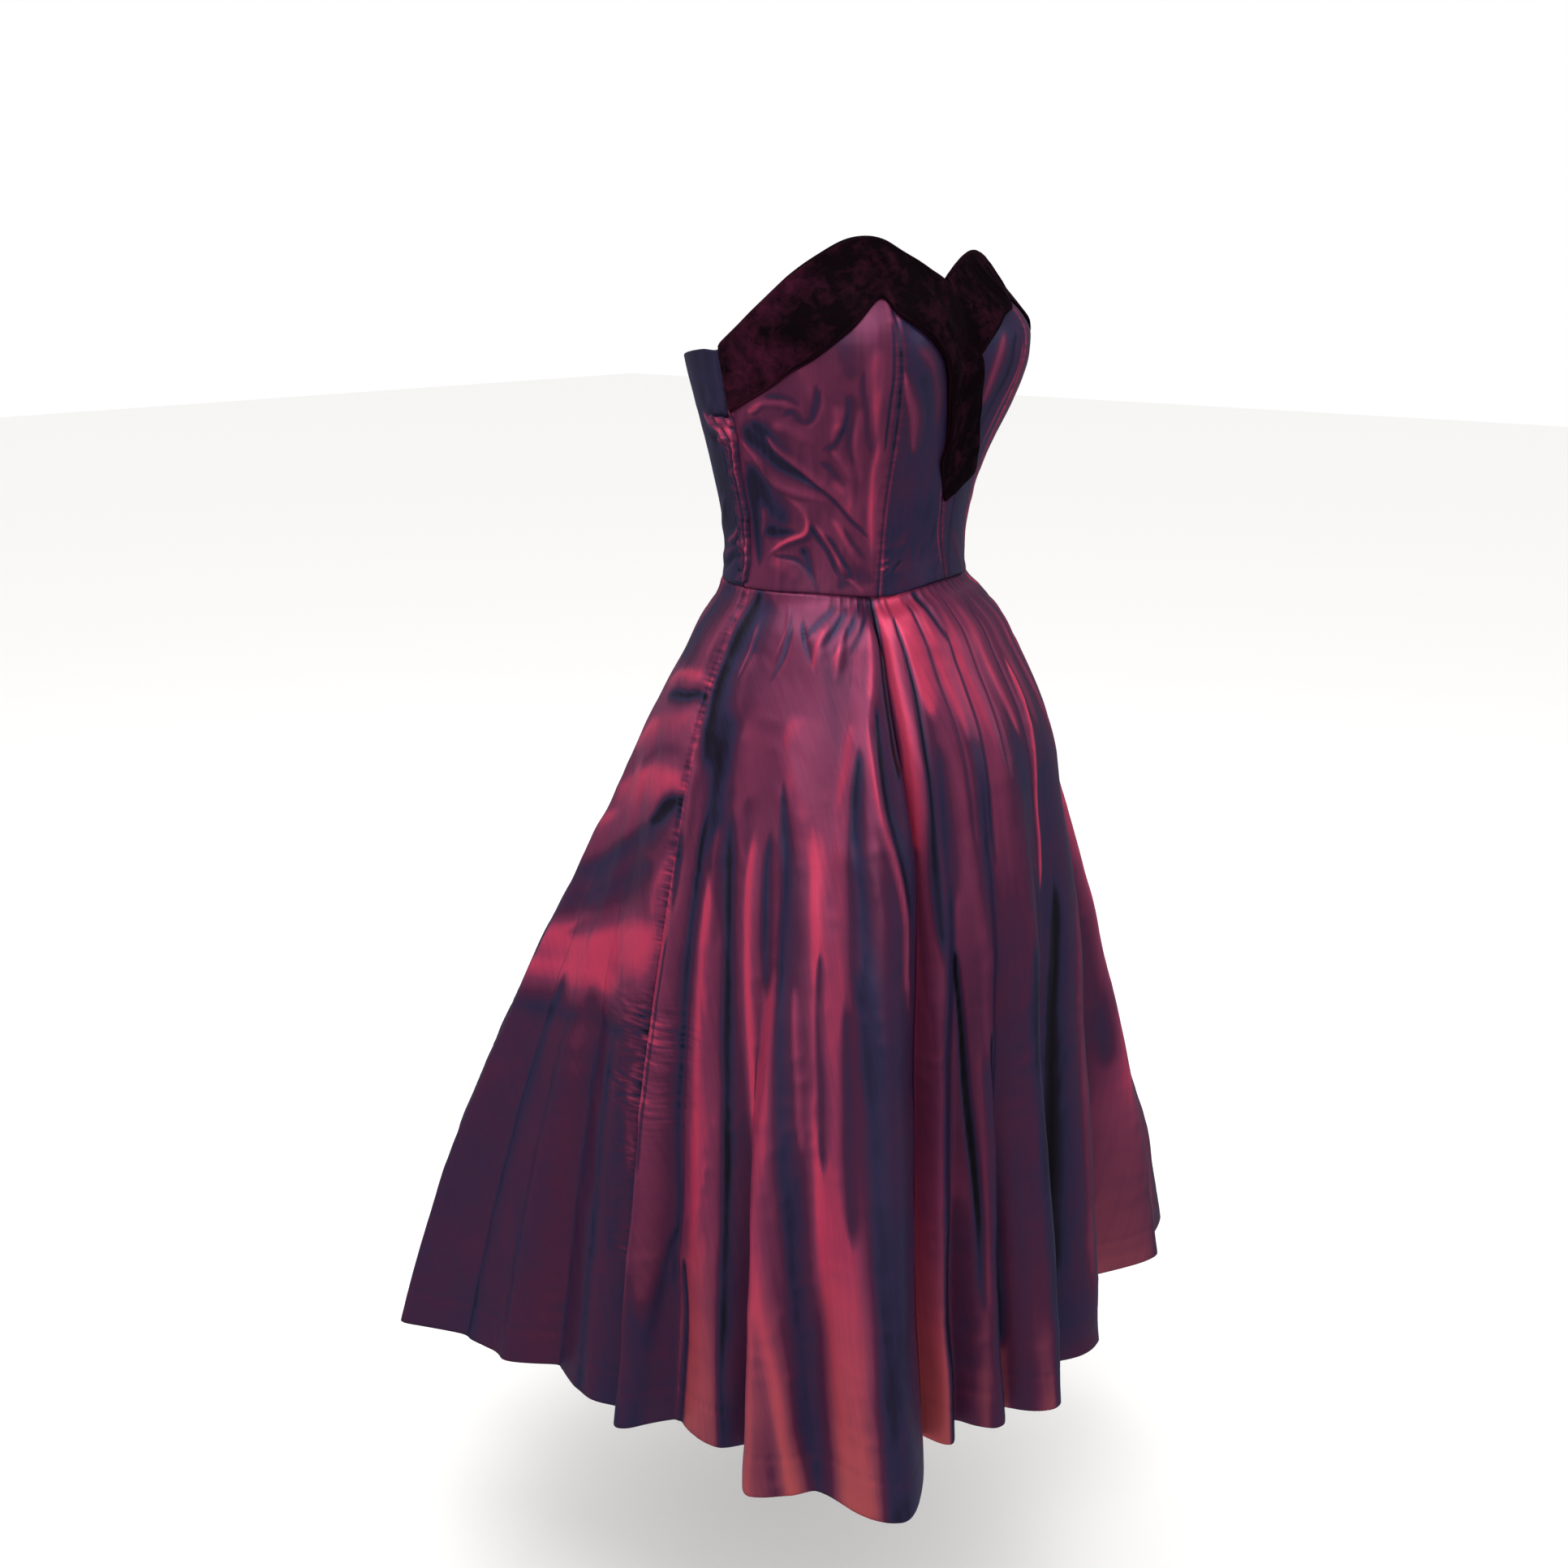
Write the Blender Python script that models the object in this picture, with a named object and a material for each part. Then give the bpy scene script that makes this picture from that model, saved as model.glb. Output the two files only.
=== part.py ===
"""Strapless cocktail dress with a full skirt, held in its worn form. Metres, +Z up, front towards -Y.

The origin is the centre of the waist, where the wearer holds the dress up. The waist seam runs
just above it. An angle is measured round the body from centre front: positive towards the
wearer's left.
"""

import bpy
import numpy as np

# Driving sizes
SKIRT_DROP = 0.795
BODICE_WALL = 0.0016
SKIRT_WALL = 0.0015
VELVET_WALL = 0.0026
LAP_WALL = 0.0014
BAND_SWELL = 0.0008
SEAM_GAP = 0.0003
REST_GAP = 0.0011

# Half the gap at an upright seam as an angle, taken at the waist, where it is widest
WAIST_RADIUS = 0.12
SEAM_INSET = np.degrees(SEAM_GAP / 2 / WAIST_RADIUS)

# Bust cups: where their middle is, how far they stand out and how far they spread
CUP_ANGLE = 39.0
CUP_HEIGHT = 0.240
CUP_OUT = 0.042
CUP_SPREAD = 31.0
CUP_BELOW = 0.094
CUP_ABOVE = 0.048

# Bodice sections: height above the waist seam, half width, depth to the front and to the back
BODICE_SECTIONS = dict(
    height=(0.000, 0.050, 0.095, 0.130, 0.165, 0.200, 0.230, 0.265, 0.300, 0.345),
    half_width=(0.1330, 0.1285, 0.1340, 0.1410, 0.1480, 0.1540, 0.1580, 0.1585, 0.1560, 0.1520),
    front=(0.1135, 0.1095, 0.1130, 0.1170, 0.1200, 0.1220, 0.1225, 0.1190, 0.1100, 0.1000),
    back=(0.1120, 0.1105, 0.1165, 0.1260, 0.1370, 0.1485, 0.1565, 0.1610, 0.1640, 0.1660),
)

# Height of the waist seam round the body: angle and height
WAIST_SEAM = (
    (-180.0, 0.0135), (-125.0, 0.0137), (-87.0, 0.0140), (-67.0, 0.0140), (-49.0, 0.0110), (-37.0, 0.0090),
    (-28.0, 0.0092), (-15.0, 0.0132), (2.0, 0.0162), (21.0, 0.0166), (45.0, 0.0145), (90.0, 0.0140), (180.0, 0.0135),
)

# How far below the waist seam the skirt has left the bodice's section and reached its own
WAIST_TUCK = 0.016

# Skirt sections, down to the hem
SKIRT_SECTIONS = dict(
    height=(0.018, 0.000, -0.020, -0.050, -0.120, -0.200, -0.310, -0.430, -0.600, -0.795),
    half_width=(0.1325, 0.1365, 0.1510, 0.1670, 0.1975, 0.2220, 0.2500, 0.2780, 0.3120, 0.3450),
    front=(0.1165, 0.1320, 0.1520, 0.1700, 0.2060, 0.2230, 0.2400, 0.2470, 0.2600, 0.2750),
    back=(0.1110, 0.1150, 0.1270, 0.1430, 0.1800, 0.2110, 0.2670, 0.3250, 0.3990, 0.4650),
)

# Skirt folds round the hem, one row each: angle and radius of the crest, angle and radius
# of the valley after it, and the height at which the fold fades out
FOLDS = (
    (-137.0, 0.478, -129.0, 0.405, -0.06),
    (-122.0, 0.376, -116.0, 0.320, -0.10),
    (-106.0, 0.322, -97.0, 0.303, -0.16),
    (-92.0, 0.328, -86.5, 0.280, -0.20),
    (-75.0, 0.297, -69.0, 0.280, -0.20),
    (-63.0, 0.356, -55.5, 0.336, -0.14),
    (-44.0, 0.384, -34.0, 0.262, -0.02),
    (-29.0, 0.284, -24.5, 0.250, -0.02),
    (-18.0, 0.280, -13.0, 0.256, -0.02),
    (-6.0, 0.296, 6.0, 0.240, -0.02),
    (20.0, 0.288, 35.0, 0.240, -0.02),
    (42.0, 0.262, 46.0, 0.250, -0.04),
    (54.5, 0.384, 57.0, 0.374, -0.06),
    (64.0, 0.436, 72.0, 0.372, -0.14),
    (80.0, 0.412, 88.5, 0.352, -0.20),
    (97.0, 0.402, 105.0, 0.352, -0.16),
    (111.0, 0.418, 118.0, 0.380, -0.10),
    (125.0, 0.452, 132.5, 0.405, -0.06),
    (139.5, 0.480, 146.5, 0.430, -0.05),
    (153.0, 0.492, 160.0, 0.442, -0.05),
    (167.0, 0.496, 180.0, 0.438, -0.05),
    (193.0, 0.496, 200.5, 0.442, -0.05),
    (208.0, 0.488, 215.0, 0.430, -0.05),
)

# How softly a fold starts, and how full its crest is: at 1 crest and valley are alike
FOLD_EASE, CREST_FULLNESS = 0.55, 0.8

# Deep pleats at the two edges of the centre front panel: angle, depth at the waist, at a
# third of the drop and at the hem, and width at the waist and at the hem, in degrees
PLEATS = (
    (-34.0, 0.007, 0.020, 0.000, 5.0, 9.0),
    (35.0, 0.007, 0.020, 0.000, 5.0, 9.0),
)

# Seam lines of the bodice: angle at each height
SEAM_HEIGHTS = (0.000, 0.050, 0.090, 0.140, 0.215, 0.290, 0.345)
SEAMS = dict(
    centre_front=(9.5, 5.4, 2.4, 0.5, -1.5, -5.0, -5.5),
    princess_right=(-36.8, -34.8, -34.2, -33.6, -35.0, -37.6, -38.5),
    princess_left=(36.5, 35.5, 34.5, 32.0, 31.5, 33.0, 34.0),
    side_right=(-99.0, -99.0, -100.0, -99.0, -97.0, -96.5, -96.5),
    side_left=(96.0, 96.0, 95.0, 93.0, 91.5, 91.0, 91.0),
    centre_back_left=(180.0,) * 7,
    centre_back_right=(-180.0,) * 7,
)

# Top edge of the cloth: angle and height
TOP_EDGE = (
    (-180.0, 0.2060), (-140.0, 0.2210), (-109.0, 0.2320), (-97.0, 0.2345), (-88.0, 0.2515), (-79.0, 0.2730),
    (-71.0, 0.2940), (-63.0, 0.3095), (-54.0, 0.3220), (-45.0, 0.3260), (-36.0, 0.3225), (-27.0, 0.3120),
    (-17.0, 0.3000), (-9.5, 0.2900), (-5.5, 0.2860), (-1.0, 0.2900), (4.0, 0.2960), (12.0, 0.3040),
    (22.0, 0.3115), (31.0, 0.3140), (39.0, 0.3120), (46.0, 0.3020), (53.0, 0.2945), (61.0, 0.2840),
    (70.0, 0.2680), (80.0, 0.2490), (91.0, 0.2335), (105.0, 0.2320), (140.0, 0.2210), (180.0, 0.2060),
)

# Velvet bands, one row for each cut across them: angle and height of the upper edge, of the
# lower edge, and how far the row is lifted off the cloth
BAND_RIGHT = (
    (-97.2, 0.2380, -95.3, 0.1760, 0.0000),
    (-88.0, 0.2555, -86.0, 0.1880, 0.0000),
    (-79.0, 0.2770, -77.0, 0.2000, 0.0000),
    (-71.0, 0.2980, -69.0, 0.2145, 0.0000),
    (-63.0, 0.3135, -60.5, 0.2285, 0.0000),
    (-54.0, 0.3260, -51.0, 0.2510, 0.0000),
    (-45.0, 0.3300, -41.3, 0.2775, 0.0000),
    (-36.0, 0.3265, -35.8, 0.2630, 0.0004),
    (-27.0, 0.3160, -29.8, 0.2520, 0.0016),
    (-17.0, 0.3040, -23.0, 0.2380, 0.0034),
    (-9.5, 0.2940, -16.5, 0.2225, 0.0046),
    (-5.8, 0.2900, -12.0, 0.2050, 0.0048),
    (-2.0, 0.2760, -9.2, 0.1880, 0.0048),
    (1.4, 0.2640, -7.0, 0.1750, 0.0048),
    (5.2, 0.2450, -5.3, 0.1610, 0.0048),
    (9.6, 0.2220, -4.0, 0.1480, 0.0044),
    (11.6, 0.1970, -5.2, 0.1375, 0.0032),
    (15.2, 0.1640, -6.2, 0.1300, 0.0022),
    (20.0, 0.1350, -4.6, 0.1210, 0.0015),
    (22.5, 0.1170, -2.6, 0.1130, 0.0010),
    (14.0, 0.1045, -0.2, 0.1030, 0.0006),
    (4.2, 0.0935, 2.2, 0.0920, 0.0002),
)
BAND_LEFT = (
    (90.0, 0.2370, 88.0, 0.1740, 0.0000),
    (80.0, 0.2530, 77.5, 0.1870, 0.0000),
    (70.0, 0.2720, 67.0, 0.2030, 0.0000),
    (61.0, 0.2880, 58.5, 0.2160, 0.0000),
    (53.0, 0.2985, 51.0, 0.2310, 0.0000),
    (46.0, 0.3060, 44.5, 0.2500, 0.0000),
    (39.0, 0.3160, 37.0, 0.2735, 0.0000),
    (31.0, 0.3180, 30.5, 0.2660, 0.0000),
    (22.0, 0.3155, 22.5, 0.2590, 0.0000),
    (12.0, 0.3080, 15.0, 0.2420, 0.0000),
    (4.0, 0.3000, 9.5, 0.2250, 0.0000),
    (-1.0, 0.2940, 4.0, 0.2120, 0.0000),
)

# Lap over the side opening: angle of its two edges at each height
LAP = (
    (-104.0, -95.5, 0.171),
    (-104.0, -95.5, 0.140),
    (-104.3, -95.8, 0.100),
    (-103.3, -94.8, 0.060),
    (-104.5, -96.0, 0.026),
    (-105.5, -97.0, 0.018),
)

# Rows of a skirt panel, as parts of the way from the waist seam to the hem
SKIRT_ROWS = (0.0, 0.009, 0.025, 0.063, 0.126, 0.2, 0.29, 0.39, 0.5, 0.63, 0.755, 0.88, 1.0)

# Rows of the centre front and side front panels, and of the backs
FRONT_ROWS, BACK_ROWS = 19, 12

# Steps between two rows of a band's table, and points across a band
BAND_STEPS, BAND_POINTS = 4, 8

# Rows of the lap and points across it, and columns from a fold's crest to its valley
LAP_ROWS, LAP_POINTS = 11, 4
FOLD_STEPS = 3

# Where the search for the top edge along a slanting column starts, and how often it is repeated
FIRST_TOP, TOP_ROUNDS = 0.25, 12

# Where the skirt's seams are
SKIRT_SIDE_RIGHT, SKIRT_FRONT_RIGHT, SKIRT_FRONT_LEFT, SKIRT_SIDE_LEFT = -97.0, -34.0, 35.0, 88.5

# Finishes: roughness, and colours as linear numbers
TAFFETA_ROUGHNESS, VELVET_ROUGHNESS = 0.4, 0.85
BURGUNDY = (0.16, 0.030, 0.075, 1.0)
NAVY = (0.040, 0.024, 0.070, 1.0)
WINE = (0.030, 0.004, 0.010, 1.0)


def clear_scene():
    for obj in list(bpy.data.objects):
        bpy.data.objects.remove(obj, do_unlink=True)


def through(xs, values, x):
    """Smooth curve through a table's rows, held level past both ends."""
    xs = np.array(xs, float)
    values = np.array(values, float)
    if xs[0] > xs[-1]:
        xs, values = xs[::-1], values[::-1]
    slope = np.gradient(values, xs)
    x = np.clip(x, xs[0], xs[-1])
    i = np.clip(np.searchsorted(xs, x, side="right") - 1, 0, len(xs) - 2)
    span = xs[i + 1] - xs[i]
    t = (x - xs[i]) / span
    ends = values[i] * (1 + 2 * t) * (1 - t) ** 2 + values[i + 1] * t * t * (3 - 2 * t)
    return ends + span * t * (1 - t) * (slope[i] * (1 - t) - slope[i + 1] * t)


def ease(t):
    t = np.clip(t, 0.0, 1.0)
    return t * t * (3 - 2 * t)


def around(angle):
    """The angle, in degrees, brought between -180 and 180."""
    return (np.asarray(angle, float) + 180.0) % 360.0 - 180.0


def oval(angle, half_width, front, back):
    """Distance from the axis to an oval section at this angle."""
    turn = np.radians(angle)
    depth = np.where(np.cos(turn) > 0, front, back)
    return 1 / np.sqrt((np.sin(turn) / half_width) ** 2 + (np.cos(turn) / depth) ** 2)


def section(table, angle, height):
    rows = table["height"]
    sizes = [through(rows, table[key], height) for key in ("half_width", "front", "back")]
    return oval(angle, *sizes)


def bodice_radius(angle, height):
    spread = np.where(height < CUP_HEIGHT, CUP_BELOW, CUP_ABOVE)
    side = (np.abs(around(angle)) - CUP_ANGLE) / CUP_SPREAD
    cup = CUP_OUT * np.exp(-(side**2) - ((height - CUP_HEIGHT) / spread) ** 2)
    return section(BODICE_SECTIONS, angle, height) + cup


def hem_wave(angle):
    """Radius of the hem and the height where folds fade out, at this angle."""
    marks = []
    for crest, crest_radius, valley, valley_radius, fade in FOLDS:
        marks.append((crest, crest_radius, fade))
        marks.append((valley, valley_radius, fade))
    first = marks[0]
    marks.append((first[0] + 360.0, first[1], first[2]))
    turns, radii, fades = np.array(marks).T
    angle = (np.asarray(angle, float) - turns[0]) % 360.0 + turns[0]
    i = np.clip(np.searchsorted(turns, angle, side="right") - 1, 0, len(turns) - 2)
    t = (angle - turns[i]) / (turns[i + 1] - turns[i])
    # From crest to valley the wave stays full near the crest, so that folds are round and valleys narrow.
    down = np.where(i % 2 == 0, t, 1 - t)
    level = ((1 + np.cos(np.pi * down)) / 2) ** CREST_FULLNESS
    high = np.where(i % 2 == 0, radii[i], radii[i + 1])
    low = np.where(i % 2 == 0, radii[i + 1], radii[i])
    return low + (high - low) * level, fades[i] + (fades[i + 1] - fades[i]) * ease(t)


def skirt_radius(angle, height):
    base = section(SKIRT_SECTIONS, angle, height)
    hem = section(SKIRT_SECTIONS, angle, -SKIRT_DROP)
    wave, fade = hem_wave(angle)
    part = np.clip((fade - height) / (fade + SKIRT_DROP), 0.0, 1.0)
    # Folds start softly and then grow nearly in step with the drop.
    radius = base + (wave - hem) * (FOLD_EASE * ease(part) + (1 - FOLD_EASE) * part)
    down = np.clip(-height / SKIRT_DROP, 0.0, 1.0)
    for middle, at_waist, at_third, at_hem, narrow, wide in PLEATS:
        depth = through((0.0, 1 / 3, 1.0), (at_waist, at_third, at_hem), down)
        width = narrow + (wide - narrow) * down
        radius = radius - depth * np.exp(-((around(angle - middle) / width) ** 2))
    # At its top edge the skirt is sewn to the bodice, so it starts from the bodice's section.
    below = edge_height(WAIST_SEAM, around(angle)) - height
    return radius + (bodice_radius(angle, height) - radius) * ease(1 - below / WAIST_TUCK)


def surface(radius_of, angle, height, out=0.0):
    """Points at these angles and heights, moved out along the surface's normal."""
    angle, height = np.broadcast_arrays(np.asarray(angle, float), np.asarray(height, float))

    def at(a, h):
        turn = np.radians(a)
        radius = radius_of(a, h)
        return np.stack([radius * np.sin(turn), -radius * np.cos(turn), h], -1)

    step_a, step_h = 0.4, 0.002
    along = at(angle + step_a, height) - at(angle - step_a, height)
    upward = at(angle, height + step_h) - at(angle, height - step_h)
    normal = np.cross(along, upward)
    normal /= np.linalg.norm(normal, axis=-1, keepdims=True)
    return at(angle, height) + normal * np.asarray(out)[..., None]


def solid(name, outer, inner, colour, roughness):
    """Closed wall between two grids of points, rows by columns, seen from outside."""
    rows, columns = outer.shape[:2]
    count = rows * columns
    points = np.concatenate([outer.reshape(-1, 3), inner.reshape(-1, 3)])

    def index(row, column, side):
        return side * count + row * columns + column

    faces = []
    for r in range(rows - 1):
        for c in range(columns - 1):
            a, b = index(r, c, 0), index(r, c + 1, 0)
            d, e = index(r + 1, c, 0), index(r + 1, c + 1, 0)
            faces.append((a, b, e, d))
            faces.append((d + count, e + count, b + count, a + count))
    rim = [(0, c) for c in range(columns)]
    rim += [(r, columns - 1) for r in range(1, rows)]
    rim += [(rows - 1, c) for c in range(columns - 2, -1, -1)]
    rim += [(r, 0) for r in range(rows - 2, 0, -1)]
    for here, there in zip(rim, rim[1:] + rim[:1]):
        a, b = index(*here, 0), index(*there, 0)
        faces.append((b, a, a + count, b + count))
    mesh = bpy.data.meshes.new(name)
    mesh.from_pydata([tuple(map(float, p)) for p in points], [], faces)
    mesh.validate()
    volume = sum(
        np.dot(points[f[0]], np.cross(points[f[i]], points[f[i + 1]])) for f in faces for i in (1, 2)
    )
    if volume < 0:
        mesh.flip_normals()
    obj = bpy.data.objects.new(name, mesh)
    bpy.context.collection.objects.link(obj)
    material = bpy.data.materials.new(name)
    material.use_nodes = True
    shader = material.node_tree.nodes["Principled BSDF"]
    shader.inputs["Base Color"].default_value = colour
    shader.inputs["Roughness"].default_value = roughness
    mesh.materials.append(material)
    for polygon in mesh.polygons:
        polygon.use_smooth = True
    return obj


def seam_angle(name, height):
    return through(SEAM_HEIGHTS, SEAMS[name], height)


def edge_height(table, angle):
    """Height of the waist seam or the top edge at this angle."""
    turns, heights = np.array(table).T
    return through(turns, heights, angle)


def bodice_panel(name, left_seam, right_seam, columns, rows, colour):
    """Panel between two seam lines, from the waist seam to the top edge."""
    u = np.linspace(0.0, 1.0, columns)[None, :]
    v = np.linspace(0.0, 1.0, rows)[:, None]
    top = np.full((1, columns), FIRST_TOP)
    for _ in range(TOP_ROUNDS):
        left, right = seam_angle(left_seam, top), seam_angle(right_seam, top)
        top = edge_height(TOP_EDGE, left + (right - left) * u)
    left, right = seam_angle(left_seam, 0.0), seam_angle(right_seam, 0.0)
    low = edge_height(WAIST_SEAM, left + (right - left) * u) + SEAM_GAP / 2
    height = low + (top - low) * v
    left, right = seam_angle(left_seam, height) + SEAM_INSET, seam_angle(right_seam, height) - SEAM_INSET
    angle = left + (right - left) * u
    outer = surface(bodice_radius, angle, height)
    inner = surface(bodice_radius, angle, height, -BODICE_WALL)
    inner[0, :, 2] = outer[0, :, 2]
    return solid(name, outer, inner, colour, TAFFETA_ROUGHNESS)


def band(name, table):
    """Velvet strip laid on the bodice, from the rows of its table."""
    table = np.array(table)
    places = np.arange(len(table))
    fine = np.linspace(0, len(table) - 1, (len(table) - 1) * BAND_STEPS + 1)
    upper_a, upper_h, lower_a, lower_h, lift = [through(places, table[:, k], fine)[:, None] for k in range(5)]
    u = np.linspace(0.0, 1.0, BAND_POINTS)[None, :]
    angle = upper_a + (lower_a - upper_a) * u
    height = upper_h + (lower_h - upper_h) * u
    low = REST_GAP + lift
    inner = surface(bodice_radius, angle, height, low + 0 * u)
    # The middle of the band swells a little, as a turned-over edge does.
    outer = surface(bodice_radius, angle, height, low + VELVET_WALL + BAND_SWELL * np.sin(np.pi * u))
    return solid(name, outer, inner, WINE, VELVET_ROUGHNESS)


def lap():
    table = np.array(LAP)
    rows = np.linspace(0, len(table) - 1, LAP_ROWS)
    edges = [through(np.arange(len(table)), table[:, k], rows)[:, None] for k in range(3)]
    u = np.linspace(0.0, 1.0, LAP_POINTS)[None, :]
    angle = edges[0] + (edges[1] - edges[0]) * u
    height = edges[2] + 0 * u
    inner = surface(bodice_radius, angle, height, REST_GAP + 0 * u)
    outer = surface(bodice_radius, angle, height, REST_GAP + LAP_WALL + 0 * u)
    return solid("side_placket_lap", outer, inner, BURGUNDY, TAFFETA_ROUGHNESS)


def skirt_columns(start, stop):
    """Angles of the columns between two valleys: crests and valleys with points between them."""
    marks = []
    for crest, _, valley, _, _ in FOLDS:
        marks += [crest, valley]
    marks = [m + turn for turn in (-360.0, 0.0, 360.0) for m in marks]
    marks = sorted(m for m in marks if start - 1e-6 <= m <= stop + 1e-6)
    angles = []
    for here, there in zip(marks, marks[1:]):
        angles += list(here + (there - here) * np.arange(FOLD_STEPS) / FOLD_STEPS)
    return np.array(angles + [marks[-1]])


def skirt_panel(name, start, stop):
    angle = skirt_columns(start, stop)
    angle[0] += SEAM_INSET
    angle[-1] -= SEAM_INSET
    top = edge_height(WAIST_SEAM, angle) - SEAM_GAP / 2
    down = np.array(SKIRT_ROWS)[::-1, None]
    height = top - (top + SKIRT_DROP) * down
    outer = surface(skirt_radius, angle[None, :], height)
    inner = surface(skirt_radius, angle[None, :], height, -SKIRT_WALL)
    inner[-1, :, 2] = outer[-1, :, 2]
    return solid(name, outer, inner, BURGUNDY, TAFFETA_ROUGHNESS)


def main():
    clear_scene()
    bodice_panel("bodice_centre_front_right", "princess_right", "centre_front", 8, FRONT_ROWS, NAVY)
    bodice_panel("bodice_centre_front_left", "centre_front", "princess_left", 8, FRONT_ROWS, NAVY)
    bodice_panel("bodice_side_front_right", "side_right", "princess_right", 13, FRONT_ROWS, BURGUNDY)
    bodice_panel("bodice_side_front_left", "princess_left", "side_left", 13, FRONT_ROWS, BURGUNDY)
    bodice_panel("bodice_back_right", "centre_back_right", "side_right", 9, BACK_ROWS, NAVY)
    bodice_panel("bodice_back_left", "side_left", "centre_back_left", 9, BACK_ROWS, NAVY)
    band("velvet_band_right", BAND_RIGHT)
    band("velvet_band_left", BAND_LEFT)
    lap()
    skirt_panel("skirt_centre_front", SKIRT_FRONT_RIGHT, SKIRT_FRONT_LEFT)
    skirt_panel("skirt_side_front_right", SKIRT_SIDE_RIGHT, SKIRT_FRONT_RIGHT)
    skirt_panel("skirt_side_front_left", SKIRT_FRONT_LEFT, SKIRT_SIDE_LEFT)
    skirt_panel("skirt_back_right", -180.0, SKIRT_SIDE_RIGHT)
    skirt_panel("skirt_back_left", SKIRT_SIDE_LEFT, 180.0)


main()
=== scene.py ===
"""Strapless cocktail dress in shot taffeta with a crushed velvet collar band.

Every piece is named after its cloth and the solid of the frame that it stands for. Metres, +Z up,
front towards -Y, origin at the centre of the waist, a little below the waist seam. An angle is
measured round the body from centre front, in degrees, positive towards the wearer's left.
"""

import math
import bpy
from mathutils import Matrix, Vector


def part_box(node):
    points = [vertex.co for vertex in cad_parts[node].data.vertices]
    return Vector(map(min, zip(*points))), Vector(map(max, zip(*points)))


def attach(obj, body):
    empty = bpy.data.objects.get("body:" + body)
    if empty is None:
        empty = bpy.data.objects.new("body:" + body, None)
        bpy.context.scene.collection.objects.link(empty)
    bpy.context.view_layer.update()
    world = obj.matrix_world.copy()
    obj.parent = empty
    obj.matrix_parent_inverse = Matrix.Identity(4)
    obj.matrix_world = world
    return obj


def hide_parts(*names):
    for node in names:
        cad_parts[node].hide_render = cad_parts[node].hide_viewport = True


bl_info = {
    "name": "Cocktail Dress",
    "version": (1, 0, 0),
    "blender": (4, 5, 0),
    "location": "View3D > Sidebar > Dress",
    "description": "Builds a strapless cocktail dress over its packed solids",
    "category": "Object",
}

import bmesh
import bpy
import numpy as np
from bpy.props import FloatProperty, PointerProperty, StringProperty
from mathutils import Matrix, Vector

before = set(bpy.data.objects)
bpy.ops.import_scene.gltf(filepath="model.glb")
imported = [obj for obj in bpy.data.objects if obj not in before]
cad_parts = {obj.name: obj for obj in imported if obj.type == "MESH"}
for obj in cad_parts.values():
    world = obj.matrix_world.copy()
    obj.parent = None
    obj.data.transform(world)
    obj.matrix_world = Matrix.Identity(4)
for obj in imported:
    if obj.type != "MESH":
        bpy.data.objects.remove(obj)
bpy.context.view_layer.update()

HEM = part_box("skirt_centre_front")[0][2]
DROP = -HEM

# Mean radius of the bodice, which turns an angle into a length along its cloth
BODICE_REACH = 0.145

# What a table's columns are divided by: angles stay degrees, the rest turns to metres and shares
DEG, MM, PERCENT = 1.0, 1000.0, 100.0


def table(units, text):
    """Rows of numbers, a row to a line, with notes after a #.

    units says what each column is divided by. The last two go on to the end of a longer row.
    """
    rows = []
    for line in text.splitlines():
        numbers = [float(word) for word in line.split("#")[0].split()]
        scales = list(units) + list(units[-2:]) * len(numbers)
        if numbers:
            rows.append(tuple(number / scale for number, scale in zip(numbers, scales)))
    return rows


# Bodice sections: height above the waist, half width, depth to the front and to the back
BODICE_SECTIONS = table((MM, MM), """
    0 133 113.5 112
    50 128.5 109.5 110.5
    95 134 113 116.5
    130 141 117 126
    165 148 120 137
    200 154 122 148.5
    230 158 122.5 156.5
    265 158.5 119 161
    300 156 110 164
    345 152 100 166
""")
# The bust stands out from them: where and how far, how wide it spreads round, downwards and up
CUP = dict(angle=39.0, height=0.240, out=0.042, spread=31.0, below=0.094, above=0.048)

# Skirt sections in the same columns, down to the hem
SKIRT_SECTIONS = table((MM, MM), """
    18 132.5 116.5 111
    0 136.5 132 115
    -20 151 152 127
    -50 167 170 143
    -120 197.5 206 180
    -200 222 223 211
    -310 250 240 267
    -430 278 247 325
    -600 312 260 399
    -795 345 275 465
""")

# How far below the waist seam the skirt has left the bodice's section and reached its own
WAIST_TUCK = 0.016

# Waist seam round the body, and top edge of the cloth: angle and height
WAIST_SEAM = table((DEG, MM), """
    -180 13.5
    -125 13.7
    -87 14
    -67 14
    -49 11
    -37 9
    -28 9.2
    -15 13.2
    2 16.2
    21 16.6
    45 14.5
    90 14
    180 13.5
""")
TOP_EDGE = table((DEG, MM), """
    -180 206
    -140 221
    -109 232
    -97 234.5
    -88 251.5
    -79 273
    -71 294
    -63 309.5
    -54 322
    -45 326
    -36 322.5
    -27 312
    -17 300
    -9.5 290
    -5.5 286
    -1 290
    4 296
    12 304
    22 311.5
    31 314
    39 312
    46 302
    53 294.5
    61 284
    70 268
    80 249
    91 233.5
    105 232
    140 221
    180 206
""")

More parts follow.
